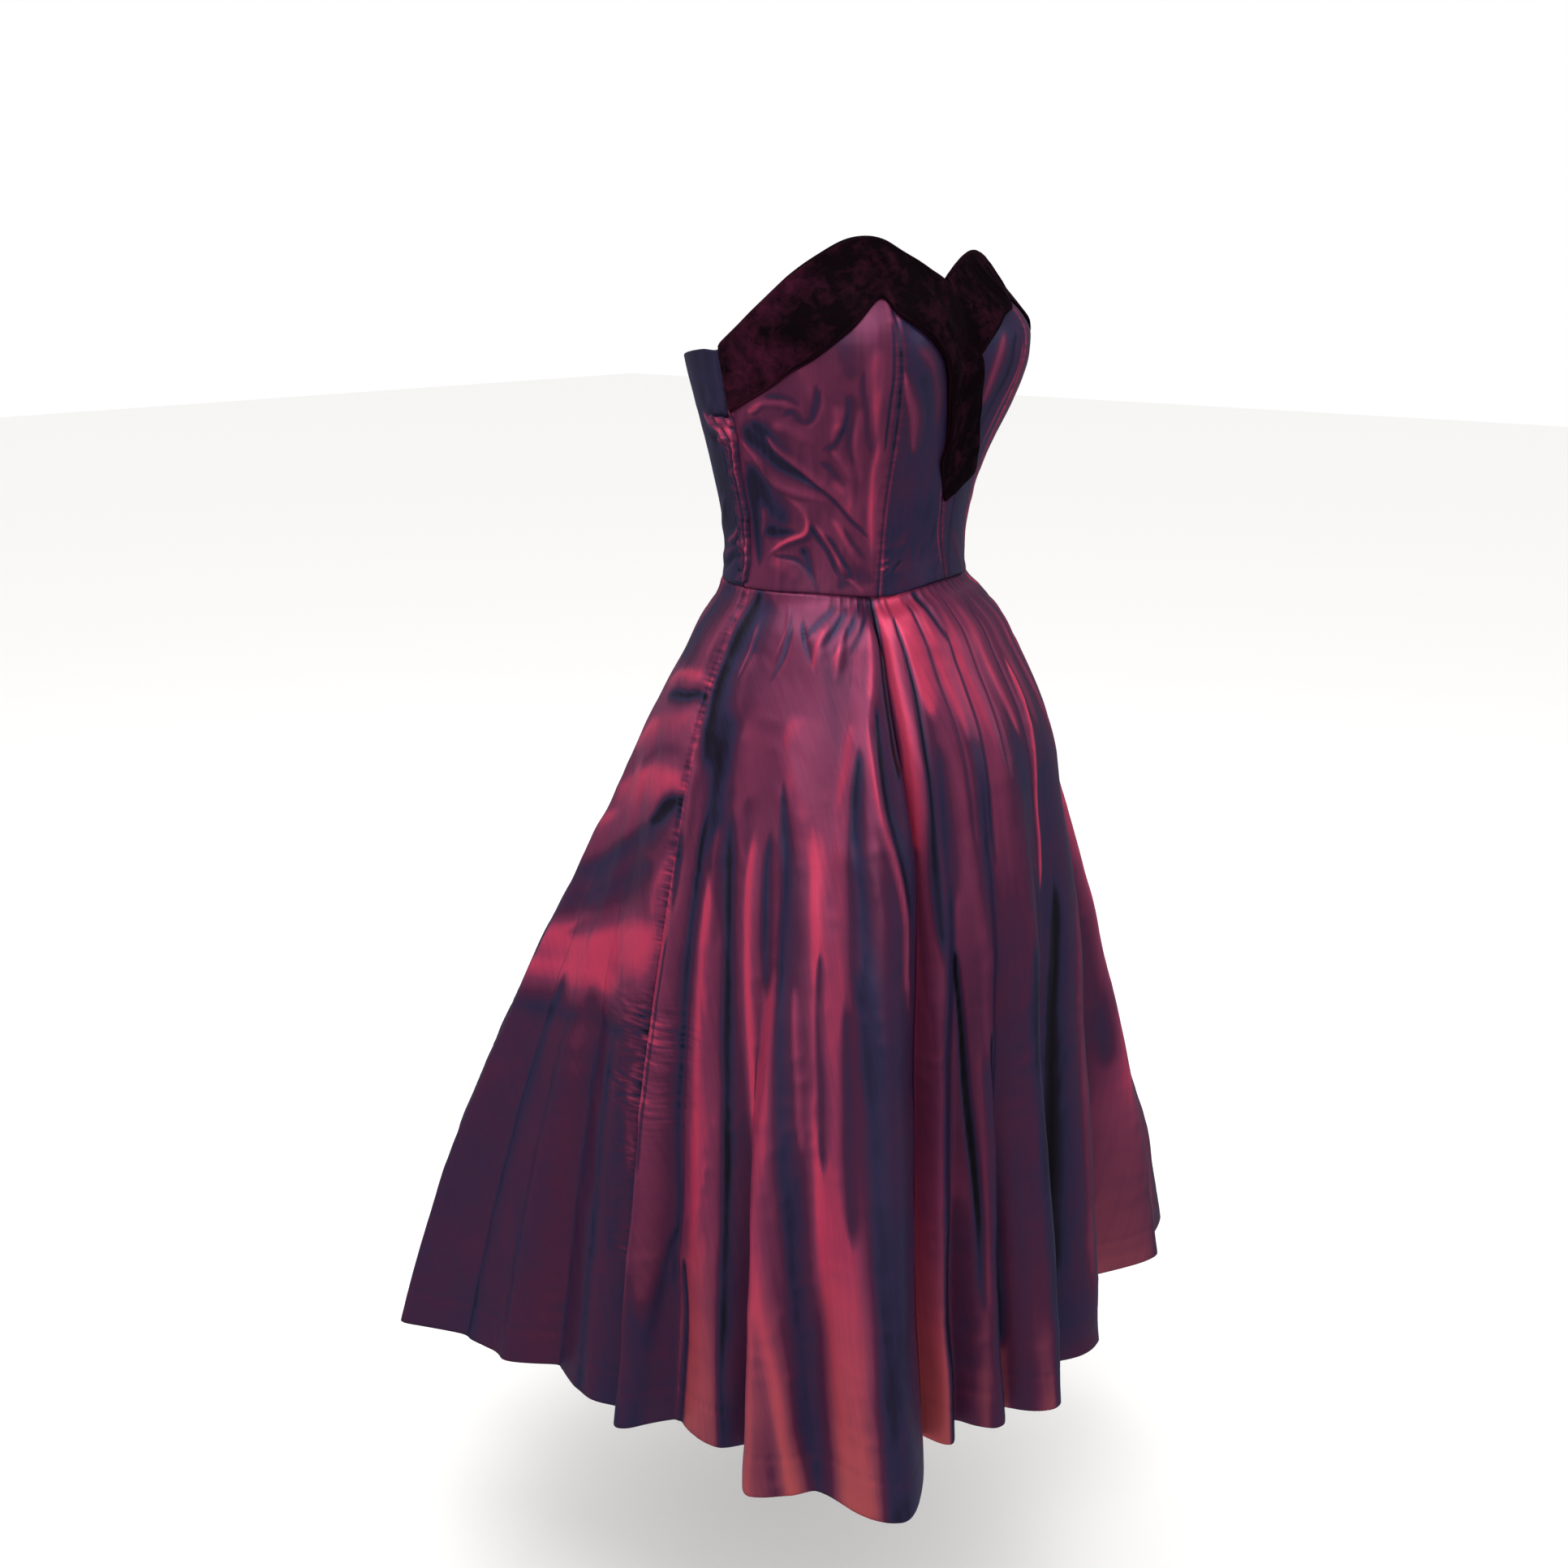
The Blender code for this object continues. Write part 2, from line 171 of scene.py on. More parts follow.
# Skirt folds round the hem: angle and radius of the crest, angle and radius of the valley
# after it, and the height at which the fold fades out
FOLDS = table((DEG, MM, DEG, MM, MM), """
    -137 478 -129 405 -60
    -122 376 -116 320 -100
    -106 322 -97 303 -160
    -92 328 -86.5 280 -200
    -75 297 -69 280 -200
    -63 356 -55.5 336 -140
    -44 384 -34 262 -20
    -29 284 -24.5 250 -20
    -18 280 -13 256 -20
    -6 296 6 240 -20
    20 288 35 240 -20
    42 262 46 250 -40
    54.5 384 57 374 -60
    64 436 72 372 -140
    80 412 88.5 352 -200
    97 402 105 352 -160
    111 418 118 380 -100
    125 452 132.5 405 -60
    139.5 480 146.5 430 -50
    153 492 160 442 -50
    167 496 180 438 -50
    193 496 200.5 442 -50
    208 488 215 430 -50
""")

# Deep pleats at both edges of the centre front panel: angle, depth at the waist, at a third of
# the drop and at the hem, width at the waist and at the hem, how far the side panel laps over,
# and how far the pleat sways out at the waist
PLEATS = table((DEG, MM, MM, MM, DEG, DEG), """
    -34 7 18 0 3.6 8 3.4 -6
    35 7 18 0 3.6 8 -3.4 5
""")

# Fold crests that lean sideways over the next valley: angle, lean at the hem, width
LEANS = table((DEG, DEG), """
    -92 -1.8 4
    -64 -2.2 4
    -42 0.9 5
    -17 1.4 3
    -5 2.4 4
    21 3 5
    65 2.6 5
    97 -2.4 4
    126 2.4 4
    153 -2.6 4
    168 2.2 4
    -166 -2.2 4
    -138 2.4 4
""")

# Seam lines of the bodice: angle at each height
SEAM_HEIGHTS = (0.000, 0.050, 0.090, 0.140, 0.215, 0.290, 0.345)
SEAMS = dict(
    centre_front=(9.5, 5.4, 2.4, 0.5, -1.5, -5.0, -5.5),
    princess_right=(-36.8, -34.8, -34.2, -33.6, -35.0, -37.6, -38.5),
    princess_left=(36.5, 35.5, 34.5, 32.0, 31.5, 33.0, 34.0),
    side_right=(-99.0, -99.0, -100.0, -99.0, -97.0, -96.5, -96.5),
    side_left=(96.0, 96.0, 95.0, 93.0, 91.5, 91.0, 91.0),
    centre_back_left=(180.0,) * 7,
    centre_back_right=(-180.0,) * 7,
)

# Velvet bands, a row for each cut across them: angle and height of the upper edge, of the lower
# edge, how far the row is lifted off the cloth, and how much of it turns over the top edge
BAND_COLUMNS = (DEG, MM, DEG, MM, MM, PERCENT)
BAND_RIGHT = table(BAND_COLUMNS, """
    -97.2 238 -95.3 176 0 100
    -88 255.5 -86 188 0 100
    -79 277 -77 200 0 100
    -71 298 -69 214.5 0 100
    -63 313.5 -60.5 228.5 0 100
    -54 326 -51 251 0 100
    -45 330 -41.3 277.5 0 100
    -36 326.5 -35.8 263 0.4 100
    -27 316 -29.8 252 1.6 100
    -17 304 -23 238 3.4 100
    -9.5 294 -16.5 222.5 4.6 80
    -5.8 290 -12 205 4.8 30
    -2 276 -9.2 188 4.8 0
    1.4 264 -7 175 4.8 0
    5.2 245 -5.3 161 4.8 0
    9.6 222 -4 148 4.4 0
    11.6 197 -5.2 137.5 3.2 0
    15.2 164 -6.2 130 2.2 0
    20 135 -4.6 121 1.5 0
    22.5 117 -2.6 113 1 0
    14 104.5 -0.2 103 0.6 0
    4.2 93.5 2.2 92 0.2 0
""")
BAND_LEFT = table(BAND_COLUMNS, """
    90 237 88 174 0 100
    80 253 77.5 187 0 100
    70 272 67 203 0 100
    61 288 58.5 216 0 100
    53 298.5 51 231 0 100
    46 306 44.5 250 0 100
    39 316 37 273.5 0 100
    31 318 30.5 266 0 100
    22 315.5 22.5 259 0 100
    12 308 15 242 0 100
    4 300 9.5 225 0 60
    -1 294 4 212 0 30
""")

# Cross-section of the velvet, from inside the top edge, over it and down to the lower edge: share
# of the way, share of the band's width, what turning over adds to that, distance from the cloth
# in parts of the thickness, and what turning over adds to it
BAND_PROFILE = table((PERCENT, PERCENT, PERCENT, PERCENT, MM), """
    0 0 16 0 -3
    10 0 8 0 -3
    20 0 0.32 0 -3.2
    30 -1.5 0 40 0
    42 3 0 100 0
    60 30 0 112 0
    80 66 0 110 0
    92 93 0 100 0
    97 100 0 45 0
    100 98.5 0 6.25 0
""")

# Lap over the side opening: angle of its two edges at each height
LAP = table((DEG, DEG, MM), """
    -109.5 -95.5 173
    -107.5 -95 160
    -104 -95 140
    -104.3 -95.8 100
    -103.3 -94.8 60
    -104.5 -96 26
    -105.5 -97 18
""")

# Creases of the bodice: lift off the cloth (below nought is a trough), the share of burgundy painted
# there, mostly painted highlights along ridges and painted shade in troughs (-1 leaves the colour
# alone), half width at the start and at the end, then the places on the way, an angle and a height each
CREASE_COLUMNS = (MM, PERCENT, MM, MM, DEG, MM)
BODICE_CREASES = table(CREASE_COLUMNS, """
    # Side front: soft folds that fall from the gathered point of the velvet
    -0.4 46 9 7  -55 262  -52 234  -50 206
    0.6 70 7 6  -67 232  -62 206  -60 176
    1 75 6 5  -44.5 244  -43.2 200  -41 150
    -0.5 44 1.6 2.4  -47.4 222  -46 182  -42.6 138
    0.6 74 4 5  -42 226  -41.4 180  -39.6 128
    -0.6 42 4 4  -51 200  -50 168  -49 128
    0.6 70 4 5  -48.4 186  -47.4 152  -45.6 110
    -0.7 30 1.6 1.8  -39 260  -38.4 205  -37.8 140
    1 83 4 8  -41 160  -39.8 100  -39.4 40
    # Swirl below the band
    0.7 74 2 3  -88 183  -76 187  -64 178
    0.8 72 2 2  -89 177  -85 180  -80 186
    -0.9 36 2 1.6  -80 194  -72 191  -66 186
    -0.8 36 2 2.4  -72 184  -67 171  -62.6 172  -60.4 190  -61 208
    1.2 74 5 6  -56.6 190  -54.4 172  -57 152
    -0.6 42 2 3  -52.4 202  -52 178  -55 152  -61 147
    1 72 4 5  -79 168  -72 163  -62 150
    -0.6 42 2.4 3  -74 176  -69 178  -66 168
    # Upper hollow: drag folds from the top of the side opening
    -1.6 17 14 3  -93 168  -85 150  -76 133  -68 119  -60 105
    -0.6 17 6 4  -89 172  -82 160  -77 143  -70 130
    2.2 78 1.6 5  -93 153  -87 137  -82 121  -76 109  -69 104  -56 98
    1.8 76 2 5  -82 160  -78 146  -70 131  -61 113  -51 91  -43 64
    -1.4 17 1 1.6  -74 133  -67 118  -59 104  -50 82  -41 64
    1.4 74 5 6  -59 120  -50 100  -43 74
    -0.9 40 2 3  -62 137  -57 127  -52 112
    0.6 76 2.4 4  -57 148  -53 136  -50 118
    # Lower hollow
    -1.6 17 9 15  -93 136  -87 110  -81 88  -73 78
    -0.8 17 10 6  -92 130  -91 84  -90 30
    -1 17 9 3  -89 70  -81 66  -73 70
    0.5 50 3.4 4  -88 92  -86 78  -89 64
    1.8 78 3 2.4  -78 108  -70.5 94  -67.6 80  -70 67  -78 58  -87 42
    1 74 9 8  -86 36  -78 36  -71 22
    -0.9 34 1.4 2.4  -84 45  -74 42  -66 30  -62 10
    -0.9 30 5 3  -72 56  -68 44  -64 24
    -1.8 17 2.4 1.2  -68 80  -63 62  -57 44  -51 24
    1.5 78 1.8 2.4  -66 82  -60 62  -54 43  -48 24
    -1.2 22 2 1.2  -62 72  -56 54  -50 36  -46 20
    1.2 76 3.4 5  -59 86  -51 60  -44 36
    -0.7 44 2 2.6  -54 78  -48 58  -42 44
    -0.6 40 6 9  -56 20  -47 26  -37 26
    0.7 76 1.6 2  -52 30  -46 18  -43 10
    # Centre front, right and left
    -0.4 34 6 9  -37 260  -33 170  -31 60
    0.7 70 2.4 7  -34.6 220  -31.4 196  -27 170  -23 136
    0.6 54 5 6  -31 240  -20 206  -12 160
    -0.7 27 6 5  -29 216  -22 188  -15 150
    0.6 -1 8 8  -30 120  -20 94  -10 80
    -0.8 2 1 1.2  -29.5 29  -26 34  -22.6 40
    0.9 86 1 1  -36.2 41  -33 41  -30 44
    0.9 86 1 1  -36.2 33  -33.6 34  -31 36
    0.2 79 1 1.2  -0.5 84  2 56  4.6 30
    0.2 76 1 1  -2.4 106  -1 92  0 78
    -0.6 12 2 3  10 110  12 60  11 10
    0.7 72 5 5  21 250  17 214  15 176
    -0.7 10 2 2  27 250  23 200  17 140
    0.9 66 2 2  31 240  28 190  23 130
    0.6 44 5 5  14 64  22 40  31 10
    # Backs
    2.2 83 2 4  -97 151  -104 160  -112 166  -118 174
    -1.7 8 2 4  -99 147  -106 150  -118 158
    1.2 34 5 8  -110 104  -122 70  -142 50
    1.2 66 2.4 3  -104 70  -108 58  -118 52
    1.3 38 4 6  -104 50  -122 36  -146 30
    -1.3 10 3 4  -103 42  -118 28  -134 22
    1 42 7 7  -144 74  -160 60  -178 62
    -1.2 12 5 6  -138 48  -158 36  -178 40
    0.7 38 9 9  -140 190  -146 140  -150 90
""")

# Creases of the skirt, in the same columns. Broad ones come first and finer ones lie over them.
# Centre front: a painted crimson highlight at the top, wine with painted shade lower down
SKIRT_CREASES = table(CREASE_COLUMNS, """
    # Side front, right: the cloth over the hip
    -1.5 18 9 17  -88.6 30  -90.6 -30  -92 -80  -89.6 -160
    -0.8 34 9 7  -84 10  -84 -20  -84 -55
    0.8 56 8 8  -83 -35  -82.5 -62  -82 -100
    1 68 1.6 1.6  -86 -12  -85 -36  -86.5 -64
    0.4 65 12 8  -70 4  -69 -26  -70 -70
    1.2 81 15 17  -67 -85  -63 -135  -59 -235
    1 80 11 12  -79.5 -90  -78 -150  -75 -230
    -0.8 60 7 8  -76 -158  -74.8 -185  -73.5 -220
    -0.6 58 11 10  -58 -40  -55 -75  -53 -118
    1.2 83 9 9  -49 -85  -50 -125  -54 -180
    1.6 77 5 7  -43.5 6  -43 -50  -45.5 -105
    # Breaks under the waist seam
    -1.6 36 2 3.4  -68 -6  -65 -26  -60 -56
    -1.4 38 3.4 2  -55 6  -60 -10  -67 -26
    -1.6 36 3 3.4  -51 4  -56 -18  -63 -44
    -1.5 38 2.6 4  -46.5 6  -50 -14  -57 -40
    -1.2 46 2.4 4  -42 4  -46 -16  -51 -36
    1.8 79 3 5  -58 -12  -60 -28  -62 -56
    1.8 79 3 5  -52 -14  -54 -34  -55 -62
    1.4 62 1.6 2.4  -76 4  -73 -20  -76 -50
    -1 46 1.6 2.4  -71 -14  -72 -40  -76 -66
    # Long streaks down to the hem
    1.6 67 6 5  -94.5 -135  -93.5 -170  -92 -220
    -1.4 38 6 6  -95.5 -200  -94 -240  -92.5 -285
    -1.6 22 14 15  -87.5 -80  -84.8 -160  -83.6 -250
    -1.6 26 6 1.6  -86.8 -170  -87.6 -330  -87.6 -500  -87.2 -660
    1.6 52 6 8  -83 -185  -82.6 -240  -82 -310
    1.2 66 7 16  -91.4 -200  -91.8 -400  -92 -560  -91 -700
    -1.2 40 1.6 1.8  -93.5 -300  -94 -420  -94 -540
    2.2 90 7 23  -84.4 -230  -82.8 -380  -82 -520  -81.4 -660  -82.4 -900
    -2.4 28 6 13  -79.8 -170  -77.6 -280  -75.4 -420  -74.4 -560  -74.2 -660  -73.4 -900
    -2 34 2 12  -88 -585  -89.4 -700  -91 -900
    -2 34 2 5  -85.6 -620  -85 -700  -86.2 -900
    3 90 7 9  -73.4 -180  -71.8 -300  -70.6 -400  -67.8 -520  -63.8 -640  -60.4 -720  -57 -900
    -1.6 38 4 6  -69.4 -185  -68.6 -255  -68.2 -350
    -1.2 30 3 12  -67 -140  -65 -200  -64.4 -270  -64.6 -350
    -2 32 9 16  -65 -230  -63.8 -340  -62 -440  -59.6 -540  -57.4 -640  -55.6 -740  -53 -900
    0.8 70 3 4  -62 -320  -60.4 -390  -58.4 -480
    2.2 94 10 16  -59 -170  -57 -280  -55.6 -380  -54.6 -480  -52.8 -600  -50.6 -700  -48.6 -900
    -1 44 3 5  -57 -290  -56.4 -380  -54.2 -500
    -0.8 42 7 7  -51 -320  -50.2 -440  -49.4 -560
    -1.5 24 4 20  -47.6 -105  -48.8 -180  -48.4 -260  -46.8 -340  -45.4 -460
    -0.8 24 15 19  -46.4 -320  -45 -480  -44 -640  -43 -940
    0.8 46 3 4  -50.4 -185  -49.4 -240  -48.4 -320
    2.4 79 5 3  -45.8 -80  -43.2 -155  -40.4 -215  -38.4 -275  -37.6 -360
    -2 24 3 10  -43 -75  -41.2 -140  -38.6 -200  -36 -280
    -1 22 2 9  -95.5 -480  -95.5 -620  -94.8 -740  -94 -900
    # Centre front: crimson at the top, wine lower down
    0 42 225 240  2 -100  0 -440  0 -900
    -1 32 30 60  16 -60  10 -300  11 -560  14 -900
    0 82 66 26  -20 40  -15 -50  -8 -140
    0.6 100 20 8  -33 24  -29.5 -40  -26.4 -100
    -2.6 0 1.6 4  -40.8 12  -39.6 -50  -38.2 -100  -36.8 -150
    2 100 5 4  -38 12  -36.4 -40  -34.6 -110  -33.4 -170  -31.8 -260
    1.2 60 4 4  -33 -200  -31.6 -280  -30 -380
    -1.8 20 0.9 8  -32.4 -6  -31 -60  -30.6 -110  -29.6 -170  -28.6 -250  -27.6 -330
    -1.2 38 4 9  -26.6 -110  -25.4 -170  -24.4 -270
    -0.9 50 1.2 2.4  -25.4 2  -22.4 -60  -20 -120  -18 -220
    0.8 90 6 5  -21.6 8  -19.6 -50  -17.4 -120
    -1.4 30 5 2  -19.6 12  -17.4 -4  -14.8 -34
    -1.2 36 1 2  -14.6 -20  -13.6 -70  -12.6 -140  -11.8 -240
    0.8 84 7 6  -11.4 -2  -10.2 -60  -8.4 -130
    -0.8 56 1.2 2  -6 8  -6 -60  -6 -160
    0.8 82 7 6  -2 8  0 -60  2.4 -130
    -1.2 36 1.6 2.4  5 -4  6.2 -70  5.6 -200
    2 94 2.4 2.2  11 -50  9 -120  6.8 -200  5.8 -280
    0.8 72 6 6  13 6  13.6 -50  13 -130
    2 66 6 6  22 6  23 -70  24 -180
    2 70 6 5  30 6  31 -70  31.6 -220
    1 56 6 6  -20.4 -130  -19 -210  -18 -320  -17.2 -430
    1 50 12 12  -5 -150  -4.4 -260  -4.4 -400
    -2.4 2 2 5  -24.6 -300  -23 -440  -21 -560  -20 -680
    0.6 46 10 22  -24.4 -540  -23.8 -680  -24 -900
    1.6 48 4 6  -19.8 -400  -19 -560  -18.4 -900
    -2.4 8 3 6  -16.6 -380  -14.2 -560  -12 -740
    1.4 42 6 14  -11 -520  -10 -680  -9.4 -900
    -1 24 8 18  -5 -300  -2.6 -500  0 -900
    -2.8 6 9 9  12 -260  12 -480  11 -720
    2.8 50 9 10  22 -280  22 -500  21 -780
""")

# Painted highlights and shade that the left side front shows past the centre
LEFT_CREASES = table(CREASE_COLUMNS, """
    0 47 60 90  60 -540  62 -720  62 -1000
    1 100 30 36  52 -140  56 -300  59 -440  60 -600
    0.8 66 9 12  57 -500  59 -660  60 -900
    -2 30 2 8  66 -420  68 -580  70 -900
""")

# Creases of the right back panel: painted crimson highlights above, with soft folds that the puckered seam
# pulls in
BACK_CREASES = table(CREASE_COLUMNS, """
    0 41 240 240  -122 500  -122 -300  -122 -1200
    0 76 120 110  -112 200  -124 -160  -122 -420
    -1 28 14 17  -106 40  -116 -20  -128 -76
    1.4 72 5 8  -97 20  -101 -30  -103 -84
    -0.6 44 8 8  -112 20  -113 -40  -116 -100
    1.6 92 5 10  -86 -64  -101 -72  -112 -74  -134 -92
    -1.8 22 3 8  -90 -76  -100 -85  -109 -91  -124 -98
    0.8 82 12 14  -84 -100  -98 -106  -112 -120  -140 -140
    1.4 94 14 10  -118 -118  -126 -140  -136 -160
    -0.8 64 7 10  -92 -140  -106 -142  -116 -152  -124 -168
    1.4 95 12 22  -76 -158  -100 -168  -118 -178  -138 -212
    -2.2 12 9 12  -93 -178  -97 -181  -102 -190  -105 -204  -110 -212
    -1.2 34 12 20  -99 -204  -108 -222  -117 -242  -130 -284  -150 -330
    0.9 82 9 12  -92 -216  -97 -236  -100 -262  -101 -300
    -0.9 36 15 18  -102 -240  -110 -262  -124 -300  -144 -346
    1.4 90 10 14  -126 -216  -134 -240  -146 -270
    1.8 100 34 30  -70 -318  -98 -322  -118 -344  -146 -372
    1.2 98 14 14  -108 -368  -124 -382  -150 -404
    -0.7 66 9 8  -112 -300  -121 -322  -132 -352
    -1.2 36 8 14  -70 -406  -100 -411  -122 -428  -150 -446
    0.5 58 9 8  -96 -380  -100 -455  -100 -560
    0.6 50 14 26  -140 -330  -144 -600  -145 -1000
    1.4 46 8 13  -119 -380  -118 -600  -117 -1000
    -1.4 36 7 14  -127 -380  -128 -600  -127 -1000
    -1.4 35 6 12  -108 -400  -107 -640  -106 -1000
    0 46 60 90  -168 100  -168 -500  -168 -1200
    -2.4 34 7 12  -140 30  -143 -80  -146 -260
    2.8 66 8 14  -149 30  -151 -80  -153 -300
    -2.6 34 8 14  -158 30  -160 -120  -161 -360
    2.8 68 9 16  -170 30  -171 -120  -172 -400
    2.8 56 8 18  -151 -200  -154 -460  -156 -960
    -2.6 34 8 18  -163 -220  -165 -480  -166 -960
""")

# Soft folds in the velvet
VELVET_RIGHT_CREASES = table(CREASE_COLUMNS, """
    2.8 -1 3 2.4  -52 300  -45 292  -39 272
    -2 -1 3 2.4  -49 316  -42 300  -35 268
    2.4 -1 3.4 2.6  -43 322  -37 304  -32 264
    -1.6 -1 3 2.4  -54 286  -47 280  -42 274
    1.4 -1 6 6  -30 300  -22 270  -12 226
    -1.4 -1 6 6  -26 306  -18 286  -8 250
    1.2 -1 8 8  -92 226  -80 236  -66 262
    -1.2 -1 7 7  -88 206  -76 222  -62 250
    -1.2 -1 7 7  -70 286  -60 300  -50 310
    1.4 -1 6 6  2 230  6 190  8 140
    -1.2 -1 6 6  10 210  13 170  12 120
""")
VELVET_LEFT_CREASES = table(CREASE_COLUMNS, """
    2.6 -1 2.8 2.4  14 300  18 276  22 258
    -2.4 -1 2.6 2.4  20 308  24 284  27 262
    2.8 -1 2.8 2.4  26 316  29 290  31 268
    -2.2 -1 2.6 2.4  33 320  34 298  35 276
    2.2 -1 3 2.6  41 318  41 298  40 276
    -1.4 -1 6 6  52 306  52 280  50 258
    1.2 -1 7 7  70 262  66 244  62 232
""")

# Small gathers under the waist seam: first and last angle, how many, mean length and lift
GATHERS = table((DEG, DEG, 1.0, MM, MM), """
    -33 34 15 14 1
    -95 -38 12 8 0.7
    39 87 12 10 0.8
    -179 -99 22 26 1.2
    90 179 24 26 1.2
""")

# Puckered seams of the skirt, and places down them with strong puckers: angle of the seam,
# height, half length, strength and how far they reach from the seam
UPRIGHT_SEAMS = (-97.0, 88.5, 180.0)
PUCKERS = table((DEG, MM, MM, PERCENT, MM), """
    -97 -90 60 40 8
    -97 -260 50 50 10
    -97 -400 30 100 44
    -97 -465 26 100 38
    -97 -530 22 60 22
    -97 -625 22 60 20
    88.5 -100 50 40 10
    88.5 -240 40 70 14
    88.5 -390 40 80 20
    88.5 -560 40 70 18
    180 -150 60 40 12
    180 -340 50 70 18
    180 -550 50 70 18
""")

# Radius of the cloth at the waist, about the least of all
NARROWEST = 0.12
# No crease runs quite where its line does: by how much it strays
STRAY = 0.0022
# A fold is steep on one side and fades on the other: distance counts for less and for more
STEEP_SIDE, SOFT_SIDE = 0.74, 1.22
# Stitch line of the hem: spacing of the stitches, depth and half width
HEM_STITCH, HEM_STITCH_DEPTH, HEM_STITCH_WIDTH = 0.009, 0.0006, 0.0022
# Panels start this far from the waist seam's line
WAIST_GAP = 0.0002
# Lift of the small breaks of the cloth, and how far from a seam it and the creases die away
BODICE_CRINKLE, BODICE_FADE = 0.0009, 0.004
SKIRT_CRINKLE, SKIRT_FADE = 0.0012, 0.009
# Puckers along the seams: strength, and how far they reach from the seam
BODICE_PUCKER, BODICE_PUCKER_REACH = 0.22, 0.007
SKIRT_PUCKER, SKIRT_PUCKER_REACH = 0.38, 0.006
# Height of a ridge of the side lap, of the one beside it and of the cloth bunched over them
LAP_RIDGE, LAP_SECOND_RIDGE, LAP_BUNCH = 0.0034, 0.0018, 0.0034

# Patterns of the taffeta, how many to a metre across the cloth and up it: clouds of 110 mm,
# rumples of 17 mm, puckers 4 mm apart, warp streaks 4 mm apart and weft slubs 1.1 mm apart.
# Real slubs lie closer and are drawn coarser so that they show.
CLOUDS, RUMPLES = 9.0, 60.0
SHORT_PUCKERS = (40.0, 240.0, 1.0)
STREAKS = (260.0, 9.0, 1.0)
SLUBS = (60.0, 900.0, 1.0)
# Cross ribs of taffeta lie about 0.4 mm apart. They are drawn at 8.8 mm so that they show. At
# scale 1 a wave texture's bands lie a tenth of pi apart.
RIB_SPACING = 0.0087965
# Patterns of the velvet to a metre: crushed spots of 12 mm, patches of 45 mm and pile of 1.1 mm.
# Real pile is finer and is drawn coarser so that it shows.
CRUSH, PATCHES, PILE = 85.0, 22.0, 900.0

# In the photo's pixels: focal length, and how far right of the middle the dress's axis stands
FOCAL_PIXELS, ASIDE_PIXELS = 2300.0, 75.5


def through(xs, values, x):
    """Smooth curve through a table's rows, held level past both ends."""
    xs, values = np.array(xs, float), np.array(values, float)
    if xs[0] > xs[-1]:
        xs, values = xs[::-1], values[::-1]
    slope = np.gradient(values, xs)
    x = np.clip(x, xs[0], xs[-1])
    i = np.clip(np.searchsorted(xs, x, side="right") - 1, 0, len(xs) - 2)
    span = xs[i + 1] - xs[i]
    t = (x - xs[i]) / span
    ends = values[i] * (1 + 2 * t) * (1 - t) ** 2 + values[i + 1] * t * t * (3 - 2 * t)
    return ends + span * t * (1 - t) * (slope[i] * (1 - t) - slope[i + 1] * t)


def rows_at(rows, places):
    """Every column of a table at places counted in rows."""
    return [through(np.arange(len(rows)), column, places) for column in np.array(rows).T]


def ease(t):
    """Soft step from 0 to 1."""
    t = np.clip(t, 0.0, 1.0)
    return t * t * (3 - 2 * t)


def bell(x, width):
    """1 in the middle, fading out on both sides over a width."""
    return np.exp(-((x / width) ** 2))


def around(angle):
    """The angle brought between -180 and 180."""
    return (np.asarray(angle, float) + 180.0) % 360.0 - 180.0


def section(sizes, angle, height):
    """Radius of an oval whose half width and depths follow a table of sections."""
    heights, *spans = np.array(sizes).T
    half_width, front, back = (through(heights, span, height) for span in spans)
    turn = np.radians(angle)
    depth = np.where(np.cos(turn) > 0, front, back)
    return 1 / np.sqrt((np.sin(turn) / half_width) ** 2 + (np.cos(turn) / depth) ** 2)


def soft_noise(x, y, seed):
    """Smooth random relief between -1 and 1, one bump to a unit."""
    lattice = np.random.RandomState(seed).uniform(-1.0, 1.0, (128, 128))
    column, row = np.floor(x).astype(int), np.floor(y).astype(int)
    s, t = ease(x - column), ease(y - row)

    def corner(dc, dr):
        return lattice[(column + dc) % 128, (row + dr) % 128]

    low = corner(0, 0) * (1 - s) + corner(1, 0) * s
    high = corner(0, 1) * (1 - s) + corner(1, 1) * s
    return low * (1 - t) + high * t


def edge_height(edge, angle):
    """Height of the waist seam or the top edge at this angle."""
    turns, heights = np.array(edge).T
    return through(turns, heights, angle)


def bodice_radius(angle, height):
    spread = np.where(height < CUP["height"], CUP["below"], CUP["above"])
    side = (np.abs(around(angle)) - CUP["angle"]) / CUP["spread"]
    cup = CUP["out"] * np.exp(-(side**2) - ((height - CUP["height"]) / spread) ** 2)
    return section(BODICE_SECTIONS, angle, height) + cup


def hem_wave(angle):
    """Radius of the hem and the height where folds fade out, at this angle."""
    marks = []
    for crest, crest_radius, valley, valley_radius, fade in FOLDS:
        marks += [(crest, crest_radius, fade), (valley, valley_radius, fade)]
    marks.append((marks[0][0] + 360.0, *marks[0][1:]))
    turns, radii, fades = np.array(marks).T
    angle = (np.asarray(angle, float) - turns[0]) % 360.0 + turns[0]
    i = np.clip(np.searchsorted(turns, angle, side="right") - 1, 0, len(turns) - 2)
    t = (angle - turns[i]) / (turns[i + 1] - turns[i])
    # Near a crest the wave stays full, so that folds are round and valleys narrow.
    from_crest = i % 2 == 0
    level = ((1 + np.cos(np.pi * np.where(from_crest, t, 1 - t))) / 2) ** 0.8
    high = np.where(from_crest, radii[i], radii[i + 1])
    low = np.where(from_crest, radii[i + 1], radii[i])
    return low + (high - low) * level, fades[i] + (fades[i + 1] - fades[i]) * ease(t)


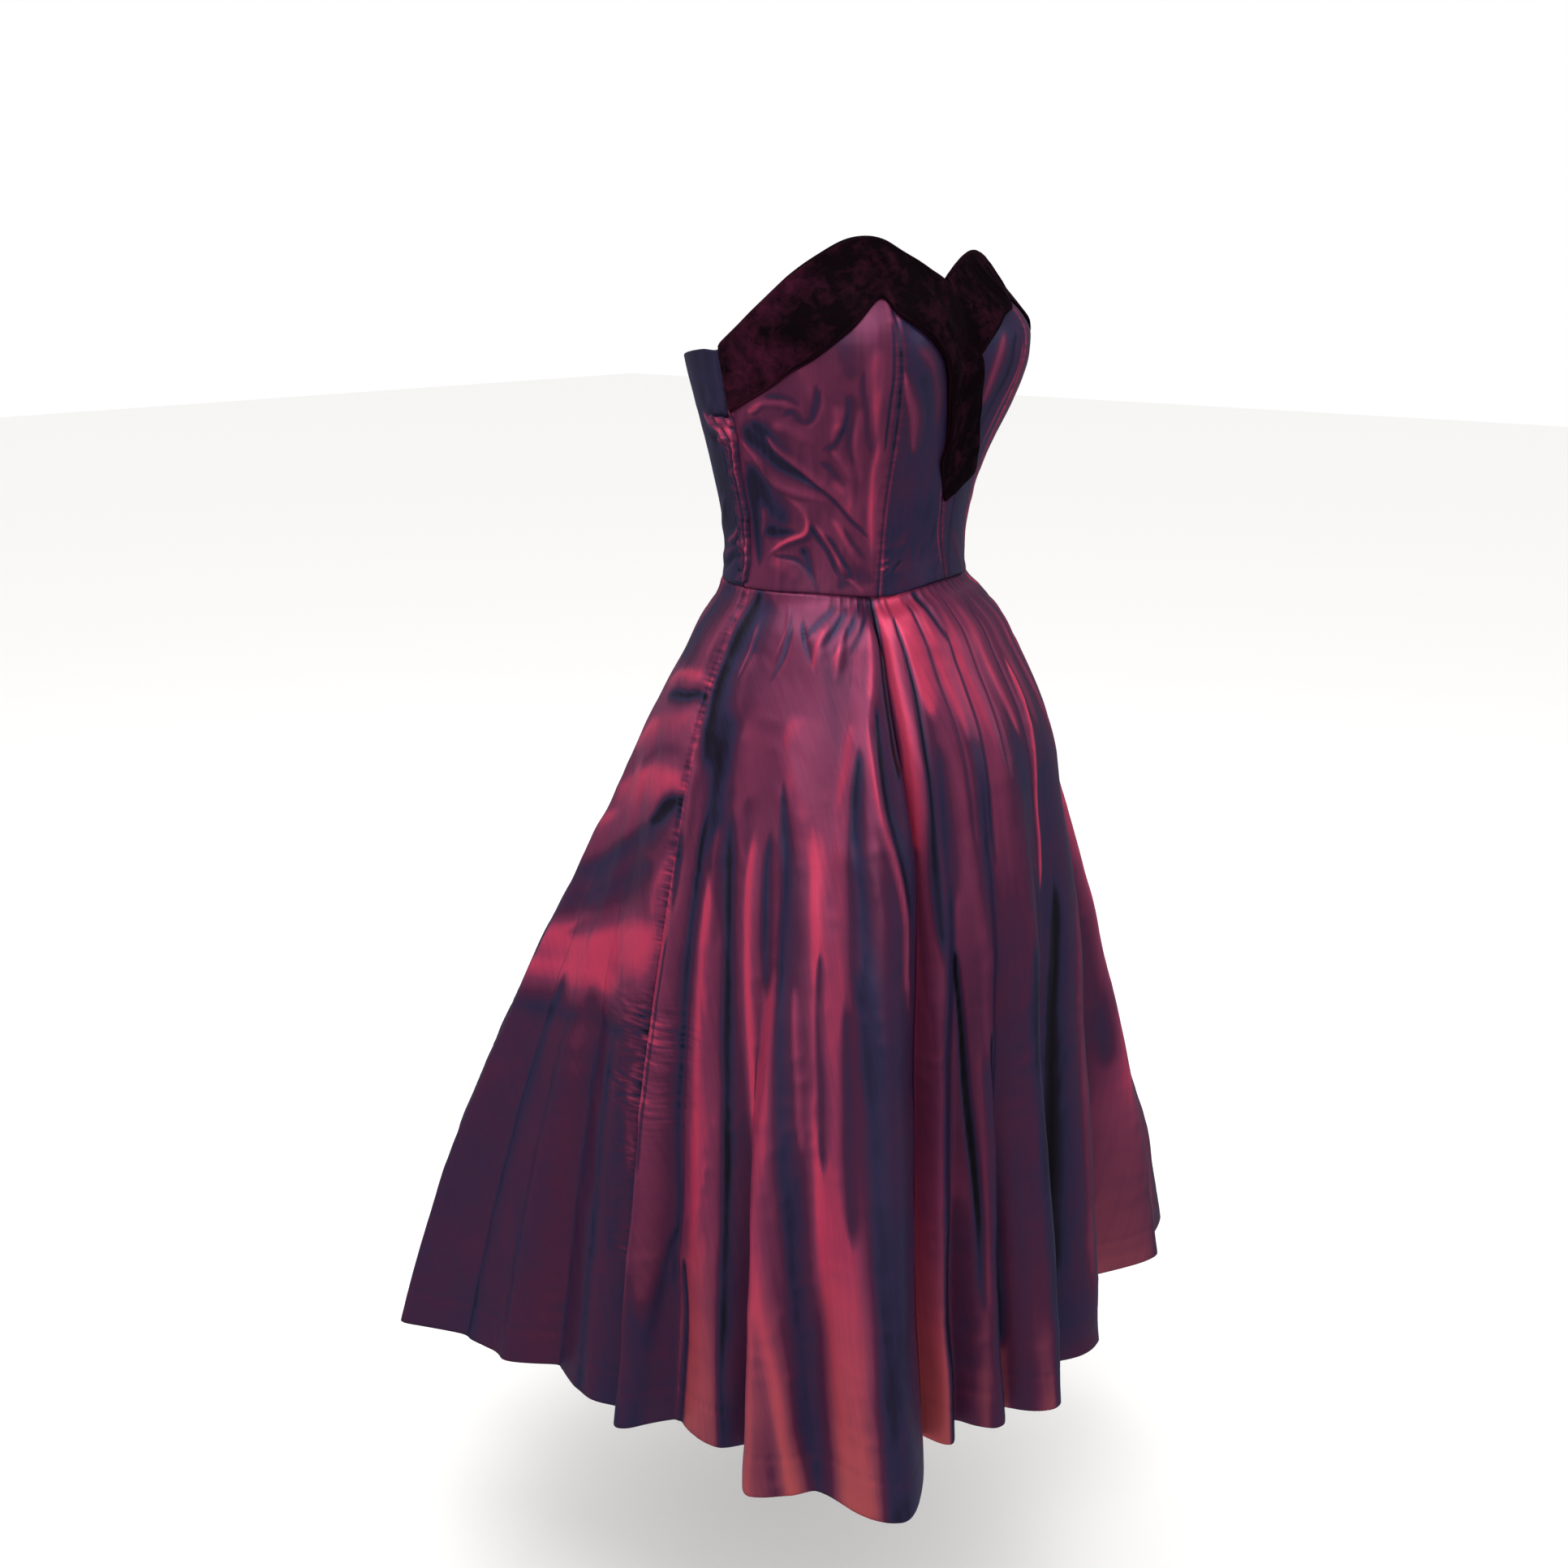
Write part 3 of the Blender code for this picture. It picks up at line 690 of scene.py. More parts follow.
def skirt_radius(angle, height):
    base = section(SKIRT_SECTIONS, angle, height)
    hem = section(SKIRT_SECTIONS, angle, HEM)
    wave, fade = hem_wave(angle)
    part = np.clip((fade - height) / (fade + DROP), 0.0, 1.0)
    radius = base + (wave - hem) * (0.55 * ease(part) + 0.45 * part)
    down = np.clip(-height / DROP, 0.0, 1.0)
    for middle, at_waist, at_third, at_hem, narrow, wide, *_ in PLEATS:
        depth = through((0.0, 0.33, 1.0), (at_waist, at_third, at_hem), down)
        radius = radius - depth * bell(around(angle - middle), narrow + (wide - narrow) * down)
    # At its top edge the skirt is sewn to the bodice, so it starts from the bodice's section.
    below = edge_height(WAIST_SEAM, around(angle)) - height
    return radius + (bodice_radius(angle, height) - radius) * ease(1 - below / WAIST_TUCK)


def skirt_lean(angle, height):
    """Sideways shift, in degrees, that rounds folds over and laps the deep pleats."""
    down = np.clip(-height / DROP, 0.0, 1.0)
    shift = 0.0
    for crest, lean, width in LEANS:
        shift = shift + lean * ease(down * 1.3) * bell(around(angle - crest), width)
    for middle, *_, lap, sway in PLEATS:
        edge = middle - math.copysign(3.2, lap)
        strength = ease(down * 18) * (1 - 0.75 * ease(down * 1.6))
        shift = shift + lap * strength * bell(around(angle - edge), 2.6)
        shift = shift + sway * ease(1 - down / 0.33) * bell(around(angle - middle), 12.0)
    # A slow wander keeps the folds from running dead straight. It rests at centre back.
    wander = soft_noise(around(angle) / 17.0 + 31.0, -height / 0.22, 5)
    wander = wander * (1 - bell(180 - np.abs(around(angle)), 8.0))
    return shift + 1.1 * wander * ease(down * 3) * (1 - ease((down - 0.8) * 5))


def frame_at(radius_of, angle, height, lean_of=None):
    """Points of a bare surface and its normals there. lean_of shifts the angles sideways."""
    def at(a, h):
        turn = np.radians(a + lean_of(a, h) if lean_of else a)
        radius = radius_of(a, h)
        return np.stack([radius * np.sin(turn), -radius * np.cos(turn), h], -1)

    step_a, step_h = 0.15, 0.001
    along = at(angle + step_a, height) - at(angle - step_a, height)
    upward = at(angle, height + step_h) - at(angle, height - step_h)
    normal = np.cross(along, upward)
    return at(angle, height), normal / np.linalg.norm(normal, axis=-1, keepdims=True)


def mirrored(rows, seed):
    """Like creases for the other side of the body, none an exact copy."""
    chance = np.random.RandomState(seed)
    out = []
    for lift, tone, first, last, *places in rows:
        turn, down = chance.uniform(-2.0, 2.0), chance.uniform(-0.010, 0.006)
        size = chance.uniform(0.85, 1.15)
        moved = [turn - value if k % 2 == 0 else down + value for k, value in enumerate(places)]
        out.append((lift * size, tone, first * size, last * size, *moved))
    return out


# The left side takes the creases that start beyond the princess seam.
BODICE_CREASES += mirrored([row for row in BODICE_CREASES if row[4] < -38], 3)
SIDE_CREASES_LEFT = mirrored([row for row in SKIRT_CREASES if row[4] < -38.5], 4)
BACK_CREASES_LEFT = mirrored(BACK_CREASES, 6)


def creases(rows, reach, angle, height):
    """Lift of all creases together, their painted highlights and shade laid over each other, and how far
    those cover.

    reach turns an angle into a length along the cloth.
    """
    relief, paint, cover = np.zeros((3, len(angle)))
    bend = np.where(height > 0, 0.030, 0.080)
    x = np.radians(angle) * reach + STRAY * soft_noise(angle / 8.0 + 50.0, height / bend + 40.0, 7)
    y = height + STRAY * soft_noise(angle / 6.0 + 20.0, height / bend + 60.0, 8)
    for lift, tone, first, last, *places in rows:
        turns, levels = np.array(places[0::2]), np.array(places[1::2])
        margin = 3 * max(first, last)
        turn = np.degrees(margin / NARROWEST)
        near = (height > levels.min() - margin) & (height < levels.max() + margin)
        near &= (angle > turns.min() - turn) & (angle < turns.max() + turn)
        if not near.any():
            continue
        knots = np.arange(len(turns))
        steps = np.linspace(0.0, len(turns) - 1.0, 4 * len(turns) - 3)
        curve_a, curve_h = through(knots, turns, steps), through(knots, levels, steps)
        px, py, reach_here = x[near], y[near], reach[near]
        best = np.full(px.shape, 1e9)
        along, side = np.zeros((2, len(px)))
        for k in range(len(steps) - 1):
            ax, ay = np.radians(curve_a[k]) * reach_here, curve_h[k]
            dx, dy = np.radians(curve_a[k + 1]) * reach_here - ax, curve_h[k + 1] - ay
            t = np.clip(((px - ax) * dx + (py - ay) * dy) / (dx * dx + dy * dy + 1e-12), 0.0, 1.0)
            gap = (px - ax - t * dx) ** 2 + (py - ay - t * dy) ** 2
            closer = gap < best
            best = np.where(closer, gap, best)
            along = np.where(closer, (k + t) / (len(steps) - 1), along)
            side = np.where(closer, np.sign(dx * (py - ay) - dy * (px - ax)), side)
        half_width = first + (last - first) * along
        # Both ends run out to a long point.
        length = np.hypot(np.radians(np.diff(curve_a)) * reach_here.mean(), np.diff(curve_h)).sum()
        run_out = np.clip(0.36 * length, 3 * half_width, 12 * half_width)
        end = np.clip(np.minimum(along, 1 - along) * length / run_out, 0.0, 1.0)
        away = np.sqrt(best) / (half_width * np.clip(end * (2 - end), 0.03, 1.0) ** 0.8)
        away = away * np.where(side > 0, STEEP_SIDE, SOFT_SIDE)
        seed = int(abs(turns[0] * 7 + levels[0] * 900)) % 997
        wobble = 1 + 0.25 * soft_noise(along * 5, px * 30, seed)
        relief[near] += lift * ease(end) * wobble * bell(away, 1.0)
        if tone >= 0:
            over = np.exp(-((away / 1.1) ** np.where(side > 0, 2.0, 2.8))) * ease(end * 2.5)
            paint[near] += (tone - paint[near]) * over
            cover[near] += (1 - cover[near]) * over
    return relief, paint, cover


def seam_dip(distance, depth=0.0011, width=0.0022):
    """Groove that a seam makes in the cloth."""
    return -depth * bell(distance, width)


def crinkle(x, y, seed, lift):
    """Small sharp breaks, 34 mm and 13 mm wide, that a crisp cloth keeps from handling."""
    wide = soft_noise(x / 0.034, y / 0.052, seed)
    fine = soft_noise(x / 0.013, y / 0.021, seed + 1)
    return lift * (wide + 0.45 * (1 - 2 * np.abs(fine)) * np.abs(wide))


def hexa(code):
    """sRGB hex colour as linear numbers."""
    values = [int(code[i : i + 2], 16) / 255 for i in (1, 3, 5)]
    return [v / 12.92 if v <= 0.04045 else ((v + 0.055) / 1.055) ** 2.4 for v in values] + [1.0]


def node(tree, kind, inputs=None, stops=(), **settings):
    """Adds a node with its settings, links and colour stops.

    An input takes a value, a socket or a node, of which it takes the first output.
    """
    made = tree.nodes.new("ShaderNode" + kind)
    for k, (position, code) in enumerate(stops):
        # A ramp comes with two stops.
        elements = made.color_ramp.elements
        element = elements[k] if k < 2 else elements.new(position)
        element.position, element.color = position, hexa(code)
    for key, value in settings.items():
        if hasattr(made, key):
            setattr(made, key, value)
        else:
            made.inputs[key.replace("_", " ")].default_value = value
    for key, value in (inputs or {}).items():
        if isinstance(value, bpy.types.Node):
            value = value.outputs[0]
        if isinstance(value, bpy.types.NodeSocket):
            tree.links.new(value, made.inputs[key])
        else:
            made.inputs[key].default_value = value
    return made


def material_of(make):
    """The material that a function makes, named like it."""
    material = bpy.data.materials.get(make.__name__)
    if not material:
        material = bpy.data.materials.new(make.__name__)
        material.use_nodes = True
        tree = material.node_tree
        tree.nodes.clear()
        node(tree, "OutputMaterial", {"Surface": make(tree, bpy.context.scene.dress_colours)})
    return material


class DressSizes(bpy.types.PropertyGroup):
    """Sizes of the dress and its stage"""
    taffeta_thickness: FloatProperty(
        name="Taffeta thickness", description="Thickness of the cloth wall", default=0.0012, unit="LENGTH",
        min=0.0003, precision=4)
    velvet_thickness: FloatProperty(
        name="Velvet thickness", description="How far the velvet stands off the cloth", default=0.0032,
        unit="LENGTH", precision=4)
    crease_strength: FloatProperty(
        name="Crease strength", description="Multiplies every crease of the cloth", default=1.0)
    hem_depth: FloatProperty(
        name="Hem depth", description="Height of the hem's stitch line above the edge", default=0.036,
        unit="LENGTH", precision=4)
    camera_azimuth: FloatProperty(
        name="Camera azimuth", description="Side from which the camera looks",
        default=math.radians(-52.0), subtype="ANGLE")
    camera_pitch: FloatProperty(
        name="Camera pitch", description="How far the camera looks down", default=math.radians(16.0),
        subtype="ANGLE")
    camera_distance: FloatProperty(
        name="Camera distance", description="From the dress's axis, level", default=1.83, unit="LENGTH")
    camera_height: FloatProperty(
        name="Camera height", description="Above the waist", default=0.32, unit="LENGTH")
    camera_lens: FloatProperty(
        name="Camera lens", description="Focal length in millimetres", default=42.86)
    floor_drop: FloatProperty(name="Floor", description="Floor below the waist", default=1.12, unit="LENGTH")


class DressColours(bpy.types.PropertyGroup):
    """Colours as sRGB hex codes"""
    crimson: StringProperty(name="Crimson", description="Weft of the taffeta, full on", default="#DC4468")
    # Copper tints the painted highlights low on the skirt
    copper_highlight: StringProperty(name="Copper", description="Weft low on the skirt", default="#C86A58")
    rose: StringProperty(name="Rose", description="Weft over warp", default="#8E375B")
    plum: StringProperty(name="Plum", description="Warp and weft in balance", default="#5A2546")
    navy: StringProperty(name="Navy", description="Warp of the taffeta, full on", default="#332C50")
    shade: StringProperty(name="Shade", description="Warp turned from the light", default="#1F182B")
    # Painted shade deep in the folds
    depth: StringProperty(name="Depth", description="Both yarns deep in a fold", default="#10050B")
    velvet: StringProperty(name="Velvet", description="Velvet in the nap's shade", default="#090206")
    velvet_light: StringProperty(name="Velvet, lit", description="Velvet where crushed", default="#360E20")
    lining: StringProperty(name="Lining", description="Satin inside the dress", default="#3A1F33")
    floor: StringProperty(name="Floor", description="Floor and backdrop", default="#FDFCFA")


def shot_taffeta_calendered(tree, colours):
    """Shot taffeta: a filament weave with burgundy weft over navy warp, calendered smooth.

    The filaments mirror light in their own colour, so the cloth is part metal in look, with fine
    cross ribs. The colour read from the vertices adds painted light: painted crimson highlights where
    it faces a light and painted navy plum shade where it turns away.
    """
    # The share of burgundy from the vertices holds the shot colour with painted highlights and painted
    # shade.
    shot = node(tree, "Attribute", attribute_name="shot").outputs["Fac"]
    uv = node(tree, "UVMap", uv_map="cloth")
    cloud = node(tree, "TexNoise", {"Vector": uv}, Scale=CLOUDS, Detail=3.0, Roughness=0.55)
    moved = node(tree, "Math", {0: cloud, 1: 0.16, 2: -0.08}, operation="MULTIPLY_ADD")
    # Short puckers lie across the upright seams, 4 mm apart, where the vertices ask for them. They
    # raise a bump and lay painted highlights and painted shade into the colour.
    pull = node(tree, "Attribute", attribute_name="pull").outputs["Fac"]
    pucker_place = node(tree, "Mapping", {"Vector": uv, "Scale": SHORT_PUCKERS})
    pucker = node(tree, "TexNoise", {"Vector": pucker_place}, Scale=1.0, Detail=1.0)
    ridge = node(tree, "Math", {0: pucker, 1: 0.44}, operation="SUBTRACT")
    pucker_relief_and_painted_shade = node(tree, "Math", {0: ridge, 1: pull}, operation="MULTIPLY")
    shifted = node(tree, "Math", {0: shot, 1: moved}, operation="ADD")
    mixed = node(tree, "Math", {0: pucker_relief_and_painted_shade, 1: 1.6, 2: shifted}, operation="MULTIPLY_ADD", use_clamp=True)
    # Long faint streaks along the warp
    grain_place = node(tree, "Mapping", {"Vector": uv, "Scale": STREAKS})
    grain = node(tree, "TexNoise", {"Vector": grain_place}, Scale=1.0, Detail=2.0)
    streak = node(tree, "Math", {0: grain, 1: 0.12, 2: mixed}, operation="MULTIPLY_ADD")
    share = node(tree, "Math", {0: streak, 1: 0.06}, operation="SUBTRACT", use_clamp=True)
    # The ramp runs from painted shade deep in the folds and on turned flanks, through navy, plum and rose,
    # to crimson, where the painted highlights reach.
    stops = ((0.0, colours.depth), (0.14, colours.shade), (0.27, colours.navy),
             (0.50, colours.plum), (0.78, colours.rose), (1.0, colours.crimson))
    shot_colour_with_painted_light = node(tree, "ValToRGB", {"Fac": share}, stops)
    # Towards the hem the painted highlights turn copper.
    level = node(tree, "SeparateXYZ", {"Vector": uv}).outputs["Y"]
    low = node(tree, "MapRange", {"Value": level}, From_Min=-0.56, From_Max=-0.78, To_Max=0.6)
    bright = node(tree, "MapRange", {"Value": share}, From_Min=0.55, From_Max=1.0)
    copper_on_highlights = node(tree, "Math", {0: low, 1: bright}, operation="MULTIPLY")
    colour = node(tree, "Mix", {0: copper_on_highlights, 6: shot_colour_with_painted_light, 7: hexa(colours.copper_highlight)}, data_type="RGBA")
    rib = node(tree, "TexWave", {"Vector": uv}, bands_direction="Y", Scale=math.pi / 10 / RIB_SPACING,
               Distortion=1.2, Detail=1.0).outputs["Fac"]
    slub_place = node(tree, "Mapping", {"Vector": uv, "Scale": SLUBS})
    slub = node(tree, "TexNoise", {"Vector": slub_place}, Scale=1.0, Detail=2.0)
    weave = node(tree, "Math", {0: rib, 1: slub}, operation="MULTIPLY")
    small = node(tree, "Bump", {"Height": weave}, Strength=0.05, Distance=0.0004)
    rumple = node(tree, "TexNoise", {"Vector": uv}, Scale=RUMPLES, Detail=3.0, Roughness=0.6)
    folds = node(tree, "Bump", {"Height": rumple, "Normal": small}, Strength=0.10, Distance=0.002)
    relief = node(tree, "Bump", {"Height": pucker_relief_and_painted_shade, "Normal": folds}, Strength=0.45, Distance=0.0015)
    gloss = node(tree, "Math", {0: cloud, 1: 0.14, 2: 0.33}, operation="MULTIPLY_ADD")
    return node(tree, "BsdfPrincipled",
                {"Base Color": colour.outputs[2], "Roughness": gloss, "Normal": relief}, Metallic=0.60,
                Sheen_Weight=0.12, Sheen_Roughness=0.4, Sheen_Tint=hexa("#303070"),
                Coat_Weight=0.08, Coat_Roughness=0.34)


def acetate_lining_satin(tree, colours):
    """Acetate lining: a thin plum satin inside the dress, with a dull gloss."""
    return node(tree, "BsdfPrincipled", Roughness=0.45, Sheen_Weight=0.1, Base_Color=hexa(colours.lining))


def crushed_velvet_wine(tree, colours):
    """Crushed velvet: cut pile that lies in patches, dark where it is seen end on, lit at its edges."""
    uv = node(tree, "UVMap", uv_map="cloth")
    crush = node(tree, "TexNoise", {"Vector": uv}, Scale=CRUSH, Detail=5.0, Roughness=0.65, Distortion=0.6)
    patch = node(tree, "TexNoise", {"Vector": uv}, Scale=PATCHES, Detail=2.0)
    crushed = node(tree, "Attribute", attribute_name="shot").outputs["Fac"]
    amount = node(tree, "MapRange", {"Value": crushed}, To_Min=0.55, To_Max=1.12)
    flat = node(tree, "Math", {0: crush, 1: patch}, operation="MULTIPLY")
    both = node(tree, "Math", {0: flat, 1: amount}, operation="MULTIPLY")
    colour = node(tree, "ValToRGB", {"Fac": both}, ((0.16, colours.velvet), (0.42, colours.velvet_light)))
    pile = node(tree, "TexNoise", {"Vector": uv}, Scale=PILE, Detail=1.0)
    height = node(tree, "Math", {0: crush, 1: pile}, operation="ADD")
    relief = node(tree, "Bump", {"Height": height}, Strength=0.45, Distance=0.0012)
    return node(tree, "BsdfPrincipled", {"Base Color": colour, "Normal": relief}, Roughness=0.9,
                Sheen_Weight=0.12, Sheen_Roughness=0.3, Specular_IOR_Level=0.04, Sheen_Tint=hexa("#6A2448"))


def seamless_paper_matt(tree, colours):
    """Seamless paper: matt and pale."""
    return node(tree, "BsdfPrincipled", Roughness=0.95, Base_Color=hexa(colours.floor))


def grid_piece(name, columns, rows, shape, make, wall=0.0):
    """Grid of cloth shaped by a function of its two fractions, across and up.

    shape gives the points, the lengths along the cloth for the weave, the share of burgundy with its
    painted highlights and shade, and how strongly the seams pucker it. make is the material's function.
    A wall adds the lining.
    """
    bm = bmesh.new()
    bmesh.ops.create_grid(bm, x_segments=columns, y_segments=rows, size=0.5)
    mesh = bpy.data.meshes.new(name)
    bm.to_mesh(mesh)
    bm.free()
    count = len(mesh.vertices)
    flat = np.empty(count * 3)
    mesh.vertices.foreach_get("co", flat)
    across, up, _ = flat.reshape(-1, 3).T + 0.5
    points, lengths, shot, pull = shape(across, up)
    mesh.vertices.foreach_set("co", points.ravel())
    corners = np.empty(len(mesh.loops), int)
    mesh.loops.foreach_get("vertex_index", corners)
    mesh.uv_layers.new(name="cloth").data.foreach_set("uv", lengths[corners].ravel())
    mesh.update()
    normals = np.empty(count * 3)
    mesh.vertices.foreach_get("normal", normals)
    shot = shot(normals.reshape(-1, 3)) if callable(shot) else shot
    for key, numbers in (("shot", np.clip(shot, 0.0, 1.0)), ("pull", pull)):
        attribute = mesh.attributes.new(key, "FLOAT", "POINT")
        attribute.data.foreach_set("value", np.full(count, 1.0) * numbers)
    mesh.polygons.foreach_set("use_smooth", [True] * len(mesh.polygons))
    mesh.materials.append(material_of(make))
    obj = bpy.data.objects.new(name, mesh)
    bpy.context.collection.objects.link(obj)
    if wall:
        thick = obj.modifiers.new("wall", "SOLIDIFY")
        thick.thickness, thick.offset = wall, -1.0
        mesh.materials.append(material_of(acetate_lining_satin))
        thick.material_offset = 1
    return obj


def finish_piece(obj, cad_node):
    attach(obj, "root")
    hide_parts(cad_node)


def shot_share_with_painted_light(level, swing, smooth, bare, paint, cover, fine=0.38, least=0.18):
    """Share of burgundy at each point of a shot cloth, no less than least.

    smooth holds the normals of the cloth without its folds, bare those without its creases. Flanks
    that turn to the wearer's left or down show the navy warp as painted shade, the others the burgundy
    weft as a painted highlight, and the creases lay their painted highlights and shade over this.
    """
    def share(normals):
        east, north = (smooth[:, :2] / np.linalg.norm(smooth[:, :2], axis=1, keepdims=True)).T
        fold = bare[:, 1] * east - bare[:, 0] * north
        crease = normals[:, 1] * east - normals[:, 0] * north - fold
        turned = level - swing * np.tanh(fold * 2.4) + 0.4 * (bare[:, 2] - smooth[:, 2])
        turn = np.tanh(2.2 * crease) - 0.85 * np.tanh(2.2 * (normals[:, 2] - bare[:, 2]))
        return np.maximum(turned * (1 - cover) + paint - fine * turn, least)
    return share


def bodice_shape(left_seam, right_seam, level, swing, seed):
    """Shape of a bodice panel between two seam lines."""
    strength = bpy.context.scene.dress_sizes.crease_strength

    def between(height, share):
        """Angles of both seams at this height, and the angle a share of the way between them."""
        left, right = (through(SEAM_HEIGHTS, SEAMS[seam], height) for seam in (left_seam, right_seam))
        return left, right, left + (right - left) * share

    def shape(across, up):
        # The grid's columns lie closer together at both seams.
        u = across - 0.7 * np.sin(2 * np.pi * across) / (2 * np.pi)
        # The seams slant, so where a column meets the top edge is found step by step.
        top = np.full_like(u, 0.25)
        for _ in range(12):
            top = edge_height(TOP_EDGE, between(top, u)[2])
        low = edge_height(WAIST_SEAM, between(0.0, u)[2]) + WAIST_GAP
        height = low + (top - low) * up
        left, right, angle = between(height, u)
        x = np.radians(angle) * BODICE_REACH
        folds, paint, cover = creases(BODICE_CREASES, np.full_like(angle, BODICE_REACH), angle, height)
        edge = np.radians(np.minimum(angle - left, right - angle)) * BODICE_REACH
        relief = folds * strength + crinkle(x, height, seed, BODICE_CRINKLE)
        relief *= 1 - bell(edge, BODICE_FADE)
        # Short pulls across the seams
        pull = BODICE_PUCKER * bell(edge, BODICE_PUCKER_REACH)
        pull *= 1 + soft_noise(height / 0.03, 0 * height, seed)
        relief += seam_dip(edge) + seam_dip(height - low, depth=0.0002, width=0.0016)
        middle, smooth = frame_at(bodice_radius, angle, height)
        # The share of burgundy carries painted highlights and painted shade.
        shot = shot_share_with_painted_light(level, swing, smooth, smooth, paint, cover)
        return middle + smooth * relief[:, None], np.stack([x, height], 1), shot, pull

    return shape


class DRESS_OT_bodice(bpy.types.Operator):
    """Make the six bodice panels with their darts, drag folds and seam pulls"""
    bl_idname = "dress.bodice"
    bl_label = "Bodice"

    def execute(self, context):
        # Name, both seams, columns and rows of the grid, level of the shot colour, lower on panels turned
        # from the light as painted shade, and swing of the painted shade and highlight on flanks
        panels = (
            ("bodice_centre_front_right", "princess_right", "centre_front", 64, 150, 0.31, 0.3),
            ("bodice_centre_front_left", "centre_front", "princess_left", 54, 150, 0.30, 0.4),
            ("bodice_side_front_right", "side_right", "princess_right", 130, 170, 0.60, 0.4),
            ("bodice_side_front_left", "princess_left", "side_left", 80, 120, 0.50, 0.5),
            ("bodice_back_right", "centre_back_right", "side_right", 80, 110, 0.22, 0.4),
            ("bodice_back_left", "side_left", "centre_back_left", 80, 110, 0.22, 0.4),
        )
        wall = context.scene.dress_sizes.taffeta_thickness
        for seed, (name, left, right, columns, rows, level, swing) in enumerate(panels):
            shape = bodice_shape(left, right, level, swing, 40 + 5 * seed)
            obj = grid_piece("taffeta_" + name, columns, rows, shape, shot_taffeta_calendered, wall)
            finish_piece(obj, name)
        return {"FINISHED"}


def waist_gathers(angle, height):
    """Relief of the small gathers under the waist seam."""
    relief = np.zeros_like(angle)
    chance = np.random.RandomState(11)
    for first, last, count, length, lift in GATHERS:
        spots = np.linspace(first, last, int(count)) + chance.uniform(-0.9, 0.9, int(count))
        for spot in spots:
            width = chance.uniform(0.55, 1.15) * 1.15
            tall = length * chance.uniform(0.5, 1.7)
            rise = lift * chance.uniform(0.5, 1.3)
            bend = chance.uniform(-1.2, 1.2)
            away = around(angle - spot - bend * ease(-height / 0.05))
            spread = width * (1 + 6 * np.clip(-height, 0, 0.1))
            relief += rise * bell(away, spread) * np.exp(-np.clip(-height, 0, 1) / tall)
    return relief * ease(-height / 0.006 + 0.25)


def skirt_pull(angle, height, reach):
    """How strongly the upright seams of the skirt pucker the cloth."""
    def away(seam):
        return np.radians(around(angle - seam)) * reach

    pull = sum(SKIRT_PUCKER * bell(away(seam), SKIRT_PUCKER_REACH) for seam in UPRIGHT_SEAMS)
    for seam, middle, half, strength, wide in PUCKERS:
        pull += strength * bell(height - middle, half) * bell(away(seam), wide)
    return pull


def skirt_shape(start, stop, rows, level, swing, least, seed):
    """Shape of a skirt panel between two seam angles, with the creases in rows."""
    sizes = bpy.context.scene.dress_sizes

    def shape(across, up):
        angle = start + (stop - start) * across
        top = edge_height(WAIST_SEAM, angle) - WAIST_GAP
        height = HEM + (top - HEM) * up
        reach = section(SKIRT_SECTIONS, angle, height)
        x = np.radians(angle) * reach
        folds, paint, cover = creases(rows, reach, angle + skirt_lean(angle, height), height)
        edge = np.radians(np.minimum(angle - start, stop - angle)) * reach
        # Creases die away at the upright seams, so that neighbouring panels meet.
        relief = folds * sizes.crease_strength + crinkle(x, height, seed, SKIRT_CRINKLE)
        relief *= 1 - bell(edge, SKIRT_FADE)
        relief += waist_gathers(angle, height - top)
        relief += (seam_dip(edge, depth=0.0013, width=0.0030)
                   + seam_dip(height - top, depth=0.0002, width=0.0016))
        dimple = 0.6 + 0.4 * np.sin(x / HEM_STITCH * 2 * np.pi)
        relief -= HEM_STITCH_DEPTH * dimple * bell(height - HEM - sizes.hem_depth, HEM_STITCH_WIDTH)
        middle, bare = frame_at(skirt_radius, angle, height, skirt_lean)
        _, smooth = frame_at(lambda a, h: section(SKIRT_SECTIONS, a, h), angle, height)
        # The share of burgundy carries painted highlights and painted shade.
        shot = shot_share_with_painted_light(level, swing, smooth, bare, paint, cover, fine=0.30, least=least)
        points = middle + bare * relief[:, None]
        return points, np.stack([x, height], 1), shot, skirt_pull(angle, height, reach)

    return shape


class DRESS_OT_skirt(bpy.types.Operator):
    """Make the five skirt panels with their folds, deep pleats, gathers and puckered seams"""
    bl_idname = "dress.skirt"
    bl_label = "Skirt"

    def execute(self, context):
        left = SKIRT_CREASES + SIDE_CREASES_LEFT + LEFT_CREASES
        # Name, both seams, creases, level of the shot colour with its painted shade, swing of the painted
        # shade and highlight on flanks and the least share, columns of the grid, width of the flat panel and
        # its area
        panels = (
            ("skirt_centre_front", -34.0, 35.0, SKIRT_CREASES, 0.50, 0.5, 0.0, 176, 0.47, 0.33),
            ("skirt_side_front_right", -97.0, -34.0, SKIRT_CREASES, 0.63, 0.3, 0.0, 170, 0.52, 0.31),
            ("skirt_side_front_left", 35.0, 88.5, left, 0.56, 0.6, 0.13, 92, 0.46, 0.28),
            ("skirt_back_right", -180.0, -97.0, BACK_CREASES, 0.46, 0.6, 0.13, 140, 0.72, 0.44),
            ("skirt_back_left", 88.5, 180.0, BACK_CREASES_LEFT, 0.46, 0.6, 0.13, 126, 0.85, 0.52),
        )
        rows, part = ((220, 1.0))
        wall = context.scene.dress_sizes.taffeta_thickness
        for seed, (name, *form, columns, width, area) in enumerate(panels):
            shape = skirt_shape(*form, 80 + 5 * seed)
            across = int(columns * part)
            obj = grid_piece("taffeta_" + name, across, rows, shape, shot_taffeta_calendered, wall)
            finish_piece(obj, name)
        return {"FINISHED"}


